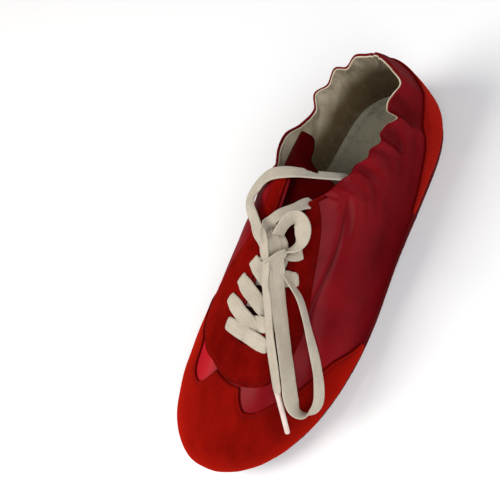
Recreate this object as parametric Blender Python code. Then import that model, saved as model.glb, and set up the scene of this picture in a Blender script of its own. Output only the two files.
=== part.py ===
"""Low lace-up sneaker, left shoe, standing empty on its sole.

The toe points along -Y, +X is the lateral side and the floor is z = 0. The tables are in millimetres:
s is the distance from the toe tip along the shoe, x is positive on the lateral side, z is up.
The upper is a fan of ribs. Each rib starts at a station of the plan outline, goes up round the widest
line and over to a point of the spine, the line under the laces. Collar and throat cut the ribs short.
"""

import bmesh
import bpy
import numpy as np

MM = 0.001
LENGTH = 262.0
X_MIDDLE = -1.0  # x of the middle of the plan, which is the origin's

# Plan outline at the widest line, from the heel's back along the lateral side to the toe and back.
# Columns: s, x.
OUTLINE = np.array([
    (262, 5.0),
    (255, 22.5),
    (237, 34.5),
    (205, 39.5),
    (165, 43.0),
    (125, 47.5),
    (92, 48.5),
    (58, 43.5),
    (28, 31.5),
    (8, 13.5),
    (0, -8.5),
    (6, -28.5),
    (26, -43.0),
    (55, -49.5),
    (85, -50.5),
    (120, -45.5),
    (160, -37.0),
    (205, -30.5),
    (238, -27.0),
    (255, -15.0),
])

# One row for each cross-section: height of the feather edge, of the widest line and of the spine,
# x of the spine, fullness of the rib in plan (plan) and in height (rise), and how far the wall leans in.
SECTION_COLUMNS = (
    "s", "feather", "widest", "crest", "spine",
    "plan_lateral", "rise_lateral", "plan_medial", "rise_medial", "lean_lateral", "lean_medial",
)
SECTIONS = np.array([
    (0, 12.0, 17.0, 31.0, 1.0, 3.0, 2.0, 3.0, 2.0, 0, 0),
    (30, 7.5, 12.5, 37.0, 1.0, 2.8, 2.0, 2.8, 2.0, 0, 0),
    (60, 5.2, 10.5, 42.0, 1.0, 2.4, 2.0, 2.6, 2.0, 0, 0),
    (84, 5.0, 10.5, 47.0, 1.0, 2.2, 2.0, 2.5, 2.1, 0, 0),
    (100, 5.0, 10.5, 51.8, 1.2, 2.1, 2.0, 2.6, 2.3, 0, 0),
    (115, 5.0, 10.5, 56.5, 3.0, 2.0, 2.0, 2.8, 2.5, 0, 0),
    (145, 5.5, 11.5, 67.0, 6.0, 2.0, 2.0, 3.0, 2.8, 0, 0),
    (168, 6.2, 12.5, 72.5, 6.5, 2.1, 2.1, 3.0, 2.8, 3, -1),
    (195, 7.0, 13.5, 79.0, 5.0, 2.4, 2.4, 2.6, 2.6, 12, -5),
    (230, 7.6, 14.5, 84.0, 4.0, 2.5, 2.5, 2.5, 2.5, 14, -4),
    (250, 8.0, 15.5, 84.0, 4.0, 2.5, 2.5, 2.5, 2.5, 6, 0),
    (262, 8.0, 16.0, 84.0, 4.0, 2.5, 2.5, 2.5, 2.5, 0, 0),
])
TUCK = 2.5  # how far the feather edge lies inside the widest line
TOE_RAMP = 0.30  # slope of the ridge that runs from the toe up to the throat
VAMP_S = 84.0  # spine point that the toe's ribs run to
HEEL_S = 226.0  # spine point that the heel's ribs run to
SPINE_ROUND = 10.0

# Height of the collar's edge along the shoe. Columns: s, z on the lateral side, z on the medial side.
COLLAR = np.array([
    (150, 92.0, 92.0), (157, 78.0, 90.0), (163, 70.6, 84.5), (168, 68.8, 78.0), (176, 66.3, 67.5),
    (190, 61.5, 61.5), (205, 57.0, 57.0), (218, 55.0, 55.0), (232, 55.0, 55.0), (245, 58.0, 58.0),
    (255, 62.5, 62.5), (262, 64.5, 64.5),
])
THROAT_HALF = 8.5  # from the spine to the throat's edge
THROAT_FRONT = 3.5  # from the vamp point to the throat's edge, towards the toe
THROAT_END_S = 150.0  # behind this the collar may cut the ribs too
CORNER_SOFTNESS = 0.05  # rounds the corner between throat and collar, in radians of rib angle

UPPER_WALL = 2.2
MARGIN = 8.0  # lasting margin, turned in under the insole
GAP = 0.3

# Outsole: height of its underside along the shoe. Columns: s, z.
GROUND = np.array([
    (0, 8.6), (8, 6.6), (20, 4.1), (35, 1.9), (50, 0.6), (64, 0.0), (122, 0.0), (138, 1.2),
    (156, 2.4), (174, 1.2), (190, 0.0), (250, 0.0), (256, 0.5), (262, 1.6),
])
SOLE_TOP_INSET = 1.9
SOLE_WAIST_INSET = 1.0
SOLE_FOOT_INSET = 2.4
SOLE_FLAT_INSET = 3.6
INSOLE_INSET = 5.0
INSOLE_THICK = 3.0

OVERLAY_THICK = 1.2
OVERLAY_LIFT = 0.35
# Toe guard: height of its upper edge. Columns: s, z on the lateral side, z on the medial side.
GUARD_TOP = np.array([
    (0, 35.5, 36.0), (22, 35.5, 35.5), (35, 34.9, 34.0), (58, 33.9, 32.5), (71, 32.7, 31.5),
    (85, 30.0, 29.5), (93, 27.0, 27.5), (98, 22.5, 25.0), (104, 17.0, 20.0), (110, 12.5, 15.0),
])
GUARD_END_S = {"lateral": 109.0, "medial": 113.0}
BRIDGE_FROM, BRIDGE_TO, BRIDGE_SOFT = -17.0, 14.0, 4.0  # bearings from the vamp point, in degrees
# Eyestay: distance of its outer edge from the spine. Columns: s, lateral, medial.
STAY_OUTER = np.array([
    (84, 28.0, 30.5), (100, 30.0, 38.0), (118, 24.2, 39.0), (131, 21.0, 38.0),
    (145, 18.5, 34.0), (158, 15.3, 28.0), (168, 12.5, 20.0),
])
STAY_END_S = 165.0
STAY_EDGE_BACK = 0.02  # how far its inner edge lies behind the throat's edge, in radians of rib angle
STAY_LEAST = 0.05  # its least breadth, at its lateral top, in radians of rib angle
# Heel counter: height of its upper edge. Columns: distance round the outline from the heel's back, z.
COUNTER_TOP = np.array([
    (0, 63.0), (3.5, 61.0), (7, 53.0), (10, 46.0), (14, 41.0), (27, 39.0), (34, 37.0), (43, 32.5),
    (55, 26.0), (66, 21.5), (74, 18.5), (85, 15.5), (92, 13.0),
])
COUNTER_END = 90.0

TONGUE_THICK = 2.5
TONGUE_CLEAR = 1.7  # from the inside of the upper
TONGUE_CAP = 71.5  # the slack tongue rises no higher than about this
TONGUE_CROWN = 3.0
# Tongue. Columns: s, half its width, x of its middle.
TONGUE = np.array([
    (70, 11.0, 1.0), (84, 17.0, 1.0), (100, 18.0, 1.2), (125, 17.0, 4.0), (150, 15.0, 4.5),
    (165, 14.0, 1.5), (180, 14.0, -5.0), (188, 13.5, -9.0), (194, 10.5, -11.5), (197, 5.0, -12.5),
])

# Laces: flat bands across the throat, in rows along the shoe, and free runs from the knot.
BAND_WIDTH = 8.8
BAND_THICK = 1.6
BAND_LIFT = 3.0  # middle of a band above the upper's form where it lies on the eyestay
BAND_CROSS = 1.3  # how much higher the upper band of a crossing goes
ROWS_S = (83.0, 98.5, 112.0, 124.5, 138.0)
LATERAL_ROW, MEDIAL_ROW = 12.5, 16.0  # from the spine to the middle of an eyelet, on each side
CORD_RADIUS = 1.6
CORD_POINT_EVERY = 7.0
SEAT = 0.35  # between the end of a cord and what it ends on
KNOT_SEAT = 0.4
KNOT_RUN = 5.5  # straight stretch of a cord that leaves the knot
KNOT_MIDDLE = np.array([7.0, 132.5, 73.0])
KNOT_HALF = np.array([8.0, 7.0, 4.5])
# Routes by hand, (x, s, z). Those that start at the knot start in the direction named in KNOT_EXITS.
KNOT_EXITS = {
    "strand_medial": (-0.95, 0.45, -0.1),
    "strand_lateral": (-0.3, 0.95, 0.1),
    "bow_loop": (0.35, -0.9, -0.25),
    "bow_loop_back": (0.95, -0.6, -0.2),
    "lace_end": (-0.1, -0.95, -0.25),
    "curl": (0.95, 0.15, -0.1),
}
ROUTES = {
    "strand_medial": [
        (-15.7, 143.0, 71.5), (-24.3, 148.7, 70.0), (-29.6, 155.2, 68.5),
        (-28.8, 161.9, 70.0), (-20.6, 167.1, 74.0), (-10.0, 172.8, 75.5), (1.0, 176.2, 74.0),
        (11.3, 179.1, 70.5), (20.0, 182.5, 65.0),
    ],
    "strand_lateral": [
        (-1.5, 148.0, 75.5), (-0.5, 153.0, 75.8), (4.0, 157.2, 76.0), (11.0, 161.5, 76.0),
        (16.5, 163.3, 74.5), (18.5, 163.5, 71.4),
    ],
    "bow_loop": [
        (14.7, 114.2, 62.0), (19.0, 105.0, 57.0), (23.0, 96.3, 52.3), (32.2, 78.4, 44.0),
        (38.5, 64.8, 36.5), (42.2, 60.1, 31.0), (45.7, 60.7, 27.0), (48.4, 64.7, 26.0), (48.6, 72.4, 28.0),
        (44.6, 86.0, 37.0), (36.0, 100.9, 46.5), (27.2, 115.3, 56.5), (21.5, 122.3, 64.0),
    ],
    "lace_end": [
        (7.5, 115.0, 66.0), (11.5, 106.7, 62.0), (18.8, 88.0, 53.6), (25.6, 74.5, 47.0),
        (29.8, 66.7, 43.2), (31.6, 63.9, 41.4),
    ],
    "curl": [
        (23.0, 139.0, 72.5), (24.8, 144.7, 74.5), (23.3, 150.2, 77.0),
        (18.7, 153.3, 78.5), (14.8, 151.1, 80.0), (12.6, 145.7, 80.0), (11.7, 140.0, 79.2),
    ],
}
AGLET_TIP = (40.9, 46.6, 29.2)
AGLET_RADIUS = 1.5

SUEDE = (0.52, 0.02, 0.015, 1)
LEATHER = (0.30, 0.008, 0.022, 1)
TONGUE_RED = (0.20, 0.008, 0.012, 1)
CREAM = (0.66, 0.58, 0.47, 1)
INSOLE_CREAM = (0.55, 0.50, 0.40, 1)
RUBBER = (0.09, 0.006, 0.006, 1)


def clear_scene():
    for old in list(bpy.data.objects):
        bpy.data.objects.remove(old, do_unlink=True)


def along(table, column, at):
    """Smooth value of a table's column at the given first-column values, with no overshoot."""
    t, v = table[:, 0], table[:, column]
    step = np.diff(t)
    slope = np.diff(v) / step
    tangent = np.zeros(len(t))
    tangent[0], tangent[-1] = slope[0], slope[-1]
    before, after = slope[:-1], slope[1:]
    same = before * after > 0
    w1, w2 = 2 * step[1:] + step[:-1], step[1:] + 2 * step[:-1]
    safe_before, safe_after = np.where(same, before, 1), np.where(same, after, 1)
    tangent[1:-1] = np.where(same, (w1 + w2) / (w1 / safe_before + w2 / safe_after), 0)
    at = np.clip(np.asarray(at, float), t[0], t[-1])
    k = np.clip(np.searchsorted(t, at, side="right") - 1, 0, len(t) - 2)
    u = (at - t[k]) / step[k]
    return (
        v[k] * (1 + 2 * u) * (1 - u) ** 2
        + tangent[k] * step[k] * u * (1 - u) ** 2
        + v[k + 1] * u * u * (3 - 2 * u)
        + tangent[k + 1] * step[k] * u * u * (u - 1)
    )


def section(name, at):
    return along(SECTIONS, SECTION_COLUMNS.index(name), at)


class Outline:
    """Closed smooth curve through OUTLINE: turn 0 and 1 are the heel's back, the toe is halfway."""

    def __init__(self, points):
        count = len(points)
        chord = np.linalg.norm(np.roll(points, -1, 0) - points, axis=1) ** 0.5
        self.knots = np.concatenate([[0], np.cumsum(chord)])
        self.chord, self.points = chord, points
        system, right = np.zeros((count, count)), np.zeros((count, 2))
        for i in range(count):
            back, ahead = chord[i - 1], chord[i]
            system[i, i - 1] += back
            system[i, i] += 2 * (back + ahead)
            system[i, (i + 1) % count] += ahead
            right[i] = 6 * (
                (points[(i + 1) % count] - points[i]) / ahead - (points[i] - points[i - 1]) / back
            )
        self.bend = np.linalg.solve(system, right)
        fine = np.linspace(0, 1, 2401)
        s, x = self.at(fine)
        steps = np.hypot(np.diff(s), np.diff(x))
        self.fine, self.round = fine, np.concatenate([[0], np.cumsum(steps)])
        self.fine_s = s
        self.toe = fine[np.argmin(s)]

    def at(self, turn):
        q = np.mod(turn, 1.0) * self.knots[-1]
        i = np.clip(np.searchsorted(self.knots, q, side="right") - 1, 0, len(self.chord) - 1)
        j = (i + 1) % len(self.chord)
        h = self.chord[i][..., None]
        a, b = (self.knots[i + 1] - q)[..., None], (q - self.knots[i])[..., None]
        p = (
            (self.bend[i] * a**3 + self.bend[j] * b**3) / (6 * h)
            + (self.points[i] / h - self.bend[i] * h / 6) * a
            + (self.points[j] / h - self.bend[j] * h / 6) * b
        )
        return p[..., 0], p[..., 1]

    def from_heel(self, turn):
        """Distance round the outline from the heel's back, the shorter way."""
        d = np.interp(np.mod(turn, 1.0), self.fine, self.round)
        return np.minimum(d, self.round[-1] - d)

    def turn_round(self, distance):
        """Turn at a distance round the outline from the heel's back: positive on the lateral side."""
        return np.interp(np.mod(distance, self.round[-1]), self.round, self.fine)

    def turn_at(self, s, side):
        """Turn where the lateral or medial side passes s."""
        lateral = self.fine <= self.toe
        if side == "lateral":
            return np.interp(-np.asarray(s, float), -self.fine_s[lateral], self.fine[lateral])
        return np.interp(s, self.fine_s[~lateral], self.fine[~lateral])


PLAN = Outline(OUTLINE)


def soft_clamp(value, low, high):
    def ramp(d):
        return 0.5 * (d + np.sqrt(d * d + SPINE_ROUND * SPINE_ROUND))

    return low + ramp(value - low) - ramp(value - high)


class Ribs:
    """The ribs at some turns: where they start, where on the spine they end, and their fullness."""

    def __init__(self, turn):
        self.turn = np.asarray(turn, float)
        self.s, self.x = PLAN.at(self.turn)
        self.end_s = soft_clamp(self.s, VAMP_S, HEEL_S)
        self.end_x = section("spine", self.end_s)
        self.length = np.hypot(self.end_x - self.x, self.end_s - self.s)
        self.inward_x = (self.end_x - self.x) / self.length
        self.inward_s = (self.end_s - self.s) / self.length
        self.medial = 0.5 + 0.5 * self.inward_x
        self.plan, self.rise, self.lean = (self.mix(name) for name in ("plan", "rise", "lean"))
        self.feather, self.widest = section("feather", self.s), section("widest", self.s)
        self.crest = section("crest", self.end_s)

    def mix(self, name):
        lateral, medial = section(name + "_lateral", self.s), section(name + "_medial", self.s)
        return lateral * (1 - self.medial) + medial * self.medial

    def inset(self, distance, z):
        return np.stack(
            [self.x + self.inward_x * distance, self.s + self.inward_s * distance, z + 0 * self.x], -1
        )

    def points(self, angle):
        """Points of the outer form: angle 0 is the widest line, pi/2 the spine, -1 the feather edge."""
        up, down = np.clip(angle, 0, np.pi / 2), np.clip(-angle, 0, 1)
        share = 1 - np.cos(up) ** (2 / self.plan)
        height = np.sin(up) ** (2 / self.rise)
        ramp = TOE_RAMP * np.clip(self.end_s - self.s, 0, None) / 2
        z = self.widest + (self.crest - self.widest - ramp) * height + ramp * share**2
        z = z - (self.widest - self.feather) * down
        tuck = TUCK * (1 - np.sqrt(1 - 0.85 * down**2)) / (1 - np.sqrt(0.15))
        distance = share * self.length + tuck + self.lean * height**1.3
        return self.inset(distance, z)

    def angle_to(self, distance):
        """Angle at which a rib is that far from its spine point in plan."""
        return np.arccos(np.clip(distance / self.length, 0, 1) ** (self.plan / 2))

    def angle_up(self, z):
        """Angle at which a rib reaches height z."""
        low, high = np.zeros(self.x.shape), np.full(self.x.shape, np.pi / 2)
        for _ in range(30):
            middle = (low + high) / 2
            below = self.points(middle)[..., 2] < z
            low, high = np.where(below, middle, low), np.where(below, high, middle)
        return (low + high) / 2


def edge_angle(ribs):
    """Angle at which throat and collar cut the ribs."""
    toewards = np.clip(ribs.inward_s, 0, 1) ** 2
    throat = ribs.angle_to(THROAT_HALF + (THROAT_FRONT - THROAT_HALF) * toewards)
    collar = np.where(ribs.s < THROAT_END_S, 9.0, ribs.angle_up(both_sides(COLLAR, ribs.s, ribs)))
    k = CORNER_SOFTNESS
    return -k * np.log(np.exp(-throat / k) + np.exp(-np.minimum(collar, 3) / k))


def shell_points(turn, angle, lift):
    """Points that lie lift outside the outer form, measured square to it."""
    step_turn, step_angle = 2e-4, 1e-3
    here = Ribs(turn).points(angle)
    on_turn = Ribs(turn + step_turn).points(angle) - Ribs(turn - step_turn).points(angle)
    on_angle = Ribs(turn).points(angle + step_angle) - Ribs(turn).points(angle - step_angle)
    normal = np.cross(on_angle, on_turn)
    normal /= np.linalg.norm(normal, axis=-1, keepdims=True)
    outward = np.sign(normal[..., :1] * -Ribs(turn).inward_x[..., None]
                      + normal[..., 1:2] * -Ribs(turn).inward_s[..., None] + normal[..., 2:])
    return here + normal * outward * lift


def surface_height(x, s):
    """Height of the outer form over plan points: the rib that passes nearest gives its height there."""
    ribs = Ribs(np.linspace(0, 1, 2400, endpoint=False))
    x, s = np.asarray(x, float), np.asarray(s, float)
    flat_x, flat_s = x.ravel()[:, None], s.ravel()[:, None]
    dx, ds = flat_x - ribs.x, flat_s - ribs.s
    forward = dx * ribs.inward_x + ds * ribs.inward_s
    off = np.abs(dx * ribs.inward_s - ds * ribs.inward_x)
    off = np.where((forward < 0) | (forward > ribs.length + 1), 1e6, off)
    best = off.argmin(1)
    share = np.clip(forward[np.arange(len(best)), best] / ribs.length[best], 0, 1)
    near = Ribs(ribs.turn[best])
    angle = np.arccos((1 - share) ** (near.plan / 2))
    return near.points(angle)[:, 2].reshape(x.shape)


def new_object(name, points, faces, colour, roughness=0.6, smooth_angle=0.7):
    """One closed mesh object: points in table millimetres, faces of any size, turned to face outwards."""
    mesh = bpy.data.meshes.new(name)
    place = (np.asarray(points, float) - (X_MIDDLE, LENGTH / 2, 0)) * MM
    mesh.from_pydata(place.tolist(), [], [tuple(int(i) for i in f) for f in faces])
    build = bmesh.new()
    build.from_mesh(mesh)
    bmesh.ops.remove_doubles(build, verts=build.verts, dist=0.00002)
    bmesh.ops.triangulate(build, faces=build.faces, quad_method="SHORT_EDGE")
    bmesh.ops.recalc_face_normals(build, faces=build.faces)
    if build.calc_volume(signed=True) < 0:
        bmesh.ops.reverse_faces(build, faces=build.faces)
    build.to_mesh(mesh)
    build.free()
    mesh.shade_smooth()
    mesh.set_sharp_from_angle(angle=smooth_angle)
    obj = bpy.data.objects.new(name, mesh)
    bpy.context.collection.objects.link(obj)
    paint(obj, colour, roughness)
    return obj


def paint(obj, colour, roughness):
    material = bpy.data.materials.new(obj.name + "_finish")
    material.use_nodes = True
    shader = material.node_tree.nodes["Principled BSDF"]
    shader.inputs["Base Color"].default_value = colour
    shader.inputs["Roughness"].default_value = roughness
    shader.inputs["Metallic"].default_value = 0.0
    obj.data.materials.clear()
    obj.data.materials.append(material)


def ring_faces(rings, around, closed_rings):
    """Quads between rings of the same number of points, each ring closed on itself."""
    faces = []
    for i in range(rings if closed_rings else rings - 1):
        a, b = i * around, (i + 1) % rings * around
        faces += [(a + j, a + (j + 1) % around, b + (j + 1) % around, b + j) for j in range(around)]
    return faces


def tube_mesh(rings):
    """Closed tube from a list of rings, (rings, around, 3), with a face at each end."""
    rings = np.asarray(rings)
    count, around = rings.shape[:2]
    faces = ring_faces(count, around, False)
    faces += [tuple(range(around)), tuple(range((count - 1) * around, count * around))]
    return rings.reshape(-1, 3), faces


def slab_mesh(top, bottom):
    """Closed slab between two grids of the same shape."""
    rows, cols = top.shape[:2]
    over = rows * cols
    cell = [(i * cols + j) for i in range(rows - 1) for j in range(cols - 1)]
    faces = [(c, c + 1, c + cols + 1, c + cols) for c in cell]
    faces += [(over + c, over + c + cols, over + c + cols + 1, over + c + 1) for c in cell]
    last = (rows - 1) * cols
    rim = list(range(cols)) + [i * cols + cols - 1 for i in range(1, rows)]
    rim += [last + j for j in range(cols - 2, -1, -1)] + [i * cols for i in range(rows - 2, 0, -1)]
    for a, b in zip(rim, rim[1:] + rim[:1]):
        faces.append((a, over + a, over + b, b))
    return np.concatenate([top.reshape(-1, 3), bottom.reshape(-1, 3)]), faces


def inset_sides(inset, count, tip):
    """Lateral and medial points of the outline inset by a distance, at count places from toe to heel."""
    ribs = Ribs(np.linspace(0, 1, 1200, endpoint=False))
    line = ribs.inset(inset, 0.0)
    low, high = line[:, 1].argmin(), line[:, 1].argmax()
    order = np.roll(np.arange(len(line)), -high)
    to_toe = int(np.where(order == low)[0][0])
    lateral, medial = line[order[: to_toe + 1]][::-1], line[order[to_toe:]]
    share = np.linspace(tip, 1 - tip, count)
    s = line[low, 1] + (line[high, 1] - line[low, 1]) * (1 - np.cos(np.pi * share)) / 2
    return s, np.interp(s, lateral[:, 1], lateral[:, 0]), np.interp(s, medial[:, 1], medial[:, 0])


def across(s, lateral, medial, columns, z):
    share = np.linspace(0, 1, columns)
    x = lateral[:, None] + (medial - lateral)[:, None] * share
    return np.stack([x, s[:, None] + 0 * x, z[:, None] + 0 * x], -1)


def make_outsole():
    """Thin rubber sole: flat top under the margin, a waist round its side and a flat underside."""
    count, columns, tip = 42, 7, 0.025
    top = inset_sides(SOLE_TOP_INSET, count, tip)
    waist = inset_sides(SOLE_WAIST_INSET, count, tip)
    foot = inset_sides(SOLE_FOOT_INSET, count, tip)
    flat = inset_sides(SOLE_FLAT_INSET, count, tip)
    top_z = section("feather", top[0]) - GAP
    ground_waist, ground_foot = along(GROUND, 1, waist[0]), along(GROUND, 1, foot[0])
    waist_z = ground_waist + 0.62 * (section("feather", waist[0]) - GAP - ground_waist)
    foot_z = ground_foot + 0.9
    rings = [
        across(*top, columns, top_z),
        np.stack([waist[2], waist[0], waist_z], -1)[:, None],
        np.stack([foot[2], foot[0], foot_z], -1)[:, None],
        across(*flat, columns, along(GROUND, 1, flat[0]))[:, ::-1],
        np.stack([foot[1], foot[0], foot_z], -1)[:, None],
        np.stack([waist[1], waist[0], waist_z], -1)[:, None],
    ]
    points, faces = tube_mesh(np.concatenate(rings, 1))
    return new_object("outsole", points, faces, RUBBER, 0.55)


def make_insole():
    """Footbed that lies on the lasting margin."""
    count, columns, tip = 32, 5, 0.03
    sides = inset_sides(INSOLE_INSET, count, tip)
    base = section("feather", sides[0]) + UPPER_WALL + GAP
    under = across(*sides, columns, base)
    over = across(*sides, columns, base + INSOLE_THICK)[:, ::-1]
    points, faces = tube_mesh(np.concatenate([under, over], 1))
    return new_object("insole", points, faces, INSOLE_CREAM, 0.75)


def floor_ring(ribs, inset, above):
    """Ring of the lasting margin, at a height above the feather edge of its own cross-section."""
    ring = ribs.inset(inset, 0.0)
    ring[:, 2] = section("feather", ring[:, 1]) + above
    return ring


def make_upper():
    """Hollow wall: lasting margin, feather edge, quarters and vamp to the collar's and throat's edge."""
    around, arch = 88, 7
    turn = np.arange(around) / around
    ribs = Ribs(turn)
    edge = edge_angle(ribs)
    reach = TUCK + MARGIN
    rings = [floor_ring(ribs, reach, 0), floor_ring(ribs, reach * 0.6, 0)]
    rings += [ribs.points(np.full(around, a)) for a in (-1.0, -0.7, -0.35)]
    steps = np.linspace(0, 1, arch + 1)
    rings += [ribs.points(edge * t) for t in steps]
    rings += [shell_points(turn, edge * t, -UPPER_WALL) for t in steps[::-1]]
    rings += [floor_ring(ribs, TUCK + 1.3, UPPER_WALL), floor_ring(ribs, reach, UPPER_WALL)]
    points = np.concatenate(rings)
    return new_object("upper", points, ring_faces(len(rings), around, True), LEATHER, 0.38)


def overlay(name, turn, low, high, rows, colour):
    """Piece that lies on the upper between two rib angles, a wall's thickness proud of it."""
    base = np.maximum(low, 0)
    angle = base[:, None] + (high - base)[:, None] * np.linspace(0, 1, rows)
    if low.min() < 0:
        angle = np.concatenate([low[:, None], low[:, None] / 2, angle], 1)
    turns = turn[:, None] + 0 * angle
    outer = shell_points(turns, angle, OVERLAY_LIFT + OVERLAY_THICK)
    inner = shell_points(turns, angle, OVERLAY_LIFT)
    points, faces = slab_mesh(outer, inner)
    return new_object(name, points, faces, colour, 0.85)


def both_sides(table, s, ribs):
    """A table with a lateral and a medial column, mixed by the side that each rib starts on."""
    return along(table, 1, s) * (1 - ribs.medial) + along(table, 2, s) * ribs.medial


def stay_angle(ribs):
    return ribs.angle_to(both_sides(STAY_OUTER, ribs.end_s, ribs))


def make_toe_guard():
    """Suede guard round the toe, with a bridge that reaches up to the eyestay."""
    count = 45
    start = PLAN.turn_at(GUARD_END_S["lateral"], "lateral")
    stop = PLAN.turn_at(GUARD_END_S["medial"], "medial")
    turn = np.linspace(start, stop, count)
    ribs = Ribs(turn)
    top = ribs.angle_up(both_sides(GUARD_TOP, ribs.s, ribs))
    bearing = np.degrees(np.arctan2(-ribs.inward_x, ribs.inward_s))
    rise = np.clip((bearing - BRIDGE_FROM) / BRIDGE_SOFT + 0.5, 0, 1)
    fall = np.clip((BRIDGE_TO - bearing) / BRIDGE_SOFT + 0.5, 0, 1)
    bridge = rise * fall * (ribs.s < VAMP_S)
    stay = ribs.angle_to(both_sides(STAY_OUTER, ribs.end_s, ribs) + 3 * GAP)
    top = top + (stay - top) * bridge
    return overlay("toe_guard", turn, np.full(count, -0.85), top, 7, SUEDE)


def make_eyestay():
    """Suede U round the throat, from its lateral top round the vamp to its medial top."""
    count = 50
    start = PLAN.turn_at(STAY_END_S, "lateral")
    stop = PLAN.turn_at(STAY_END_S, "medial")
    turn = np.linspace(start, stop, count)
    ribs = Ribs(turn)
    high = edge_angle(ribs) - STAY_EDGE_BACK
    return overlay("eyestay", turn, np.minimum(stay_angle(ribs), high - STAY_LEAST), high, 5, SUEDE)


def make_heel_counter():
    """Suede counter: a low band round the heel with a strip up its back."""
    count = 36
    distance = np.linspace(-COUNTER_END, COUNTER_END, count)
    turn = PLAN.turn_round(distance)
    ribs = Ribs(turn)
    top = ribs.angle_up(along(COUNTER_TOP, 1, PLAN.from_heel(turn)))
    top = np.minimum(top, edge_angle(ribs) - 0.03)
    return overlay("heel_counter", turn, np.full(count, -0.85), top, 7, SUEDE)


def form_normal(x, s):
    """Unit normal of the outer form over plan points."""
    step = 0.5
    slope_x = (surface_height(x + step, s) - surface_height(x - step, s)) / (2 * step)
    slope_s = (surface_height(x, s + step) - surface_height(x, s - step)) / (2 * step)
    normal = np.stack([-slope_x, -slope_s, np.ones_like(slope_x)], -1)
    return normal / np.linalg.norm(normal, axis=-1, keepdims=True)


def make_tongue():
    """Leather tongue under the throat, slack and shifted to the medial side at its top."""
    rows, columns = 20, 9
    s = np.linspace(TONGUE[0, 0], TONGUE[-1, 0], rows)
    half, middle = along(TONGUE, 1, s), along(TONGUE, 2, s)
    share = np.linspace(-1, 1, columns)
    x = middle[:, None] + half[:, None] * share
    s = s[:, None] + 0 * x
    steep = 1 / form_normal(x, s)[..., 2]
    cap = TONGUE_CAP - TONGUE_CROWN * share**2
    top = np.minimum(surface_height(x, s) - (UPPER_WALL + TONGUE_CLEAR) * steep, cap)
    bottom = top - TONGUE_THICK * np.minimum(steep, 1.6)
    points, faces = slab_mesh(np.stack([x, s, top], -1), np.stack([x, s, bottom], -1))
    return new_object("tongue", points, faces, TONGUE_RED, 0.5)


def make_band(name, start, stop, bump):
    """Flat band over the form between two plan points, lifted by bump more at its middle."""
    share = np.linspace(0, 1, 7)
    x = start[0] + (stop[0] - start[0]) * share
    s = start[1] + (stop[1] - start[1]) * share
    normal = form_normal(x, s)
    lift = BAND_LIFT + bump * np.sin(np.pi * share) ** 2
    middle = np.stack([x, s, surface_height(x, s)], -1) + normal * lift[:, None]
    run = np.gradient(middle, axis=0)
    wide = np.cross(run, normal)
    wide /= np.linalg.norm(wide, axis=1, keepdims=True)
    up = np.cross(wide, run)
    up /= np.linalg.norm(up, axis=1, keepdims=True)
    half, thick = BAND_WIDTH / 2, BAND_THICK / 2
    outline = [(-half, 0), (-half + thick, thick), (half - thick, thick),
               (half, 0), (half - thick, -thick), (-half + thick, -thick)]
    rings = np.stack([middle + wide * a + up * b for a, b in outline], 1)
    points, faces = tube_mesh(rings)
    return new_object(name, points, faces, CREAM, 0.9)


def join_solids(first, others):
    """Union of overlapping solids, kept as the first one's mesh."""
    for other in others:
        modifier = first.modifiers.new("join", "BOOLEAN")
        modifier.operation, modifier.solver, modifier.object = "UNION", "EXACT", other
    evaluated = first.evaluated_get(bpy.context.evaluated_depsgraph_get())
    joined = bpy.data.meshes.new_from_object(evaluated)
    first.modifiers.clear()
    first.data = joined
    for other in others:
        bpy.data.objects.remove(other, do_unlink=True)


def make_lace_bars():
    """Lacing across the throat: one straight bar at the toe end, then crossings."""
    lateral = [(section("spine", s) + LATERAL_ROW, s) for s in ROWS_S]
    medial = [(section("spine", s) - MEDIAL_ROW, s) for s in ROWS_S]
    bands = [make_band("lace_bars", medial[0], lateral[0], 0.0)]
    for i in range(len(ROWS_S) - 1):
        bands.append(make_band("lace_under", lateral[i + 1], medial[i], 0.0))
        bands.append(make_band("lace_over", medial[i + 1], lateral[i], BAND_CROSS))
    join_solids(bands[0], bands[1:])


def make_knot():
    """Lump of the tied bands."""
    build = bmesh.new()
    bmesh.ops.create_icosphere(build, subdivisions=2, radius=1.0)
    points = np.array([v.co[:] for v in build.verts])
    faces = [[v.index for v in f.verts] for f in build.faces]
    build.free()
    return new_object("lace_knot", KNOT_MIDDLE + points * KNOT_HALF, faces, CREAM, 0.9)


def knot_exit(name):
    """Two points of a cord that leaves the knot: its end, square to the knot, and one further out."""
    towards = np.array(KNOT_EXITS[name])
    towards /= np.linalg.norm(towards)  # as a point of the unit sphere that the knot is stretched from
    normal = towards / KNOT_HALF
    normal /= np.linalg.norm(normal)
    end = KNOT_MIDDLE + towards * KNOT_HALF + normal * KNOT_SEAT
    return [end, end + normal * KNOT_RUN]


def smooth_route(points, every):
    """Points at even steps along a Catmull-Rom curve through the route's own points."""
    points = np.asarray(points, float)
    ends = np.concatenate([[2 * points[0] - points[1]], points, [2 * points[-1] - points[-2]]])
    u = np.linspace(0, 1, 24, endpoint=False)[:, None]
    fine = []
    for a, b, c, d in zip(ends, ends[1:], ends[2:], ends[3:]):
        bend, twist = 2 * a - 5 * b + 4 * c - d, 3 * b - a - 3 * c + d
        fine.append(0.5 * (2 * b + (c - a) * u + bend * u**2 + twist * u**3))
    fine = np.concatenate(fine + [points[-1:]])
    travelled = np.concatenate([[0], np.cumsum(np.linalg.norm(np.diff(fine, axis=0), axis=1))])
    at = np.linspace(0, travelled[-1], int(round(travelled[-1] / every)) + 1)
    return np.stack([np.interp(at, travelled, fine[:, k]) for k in range(3)], -1)


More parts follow.
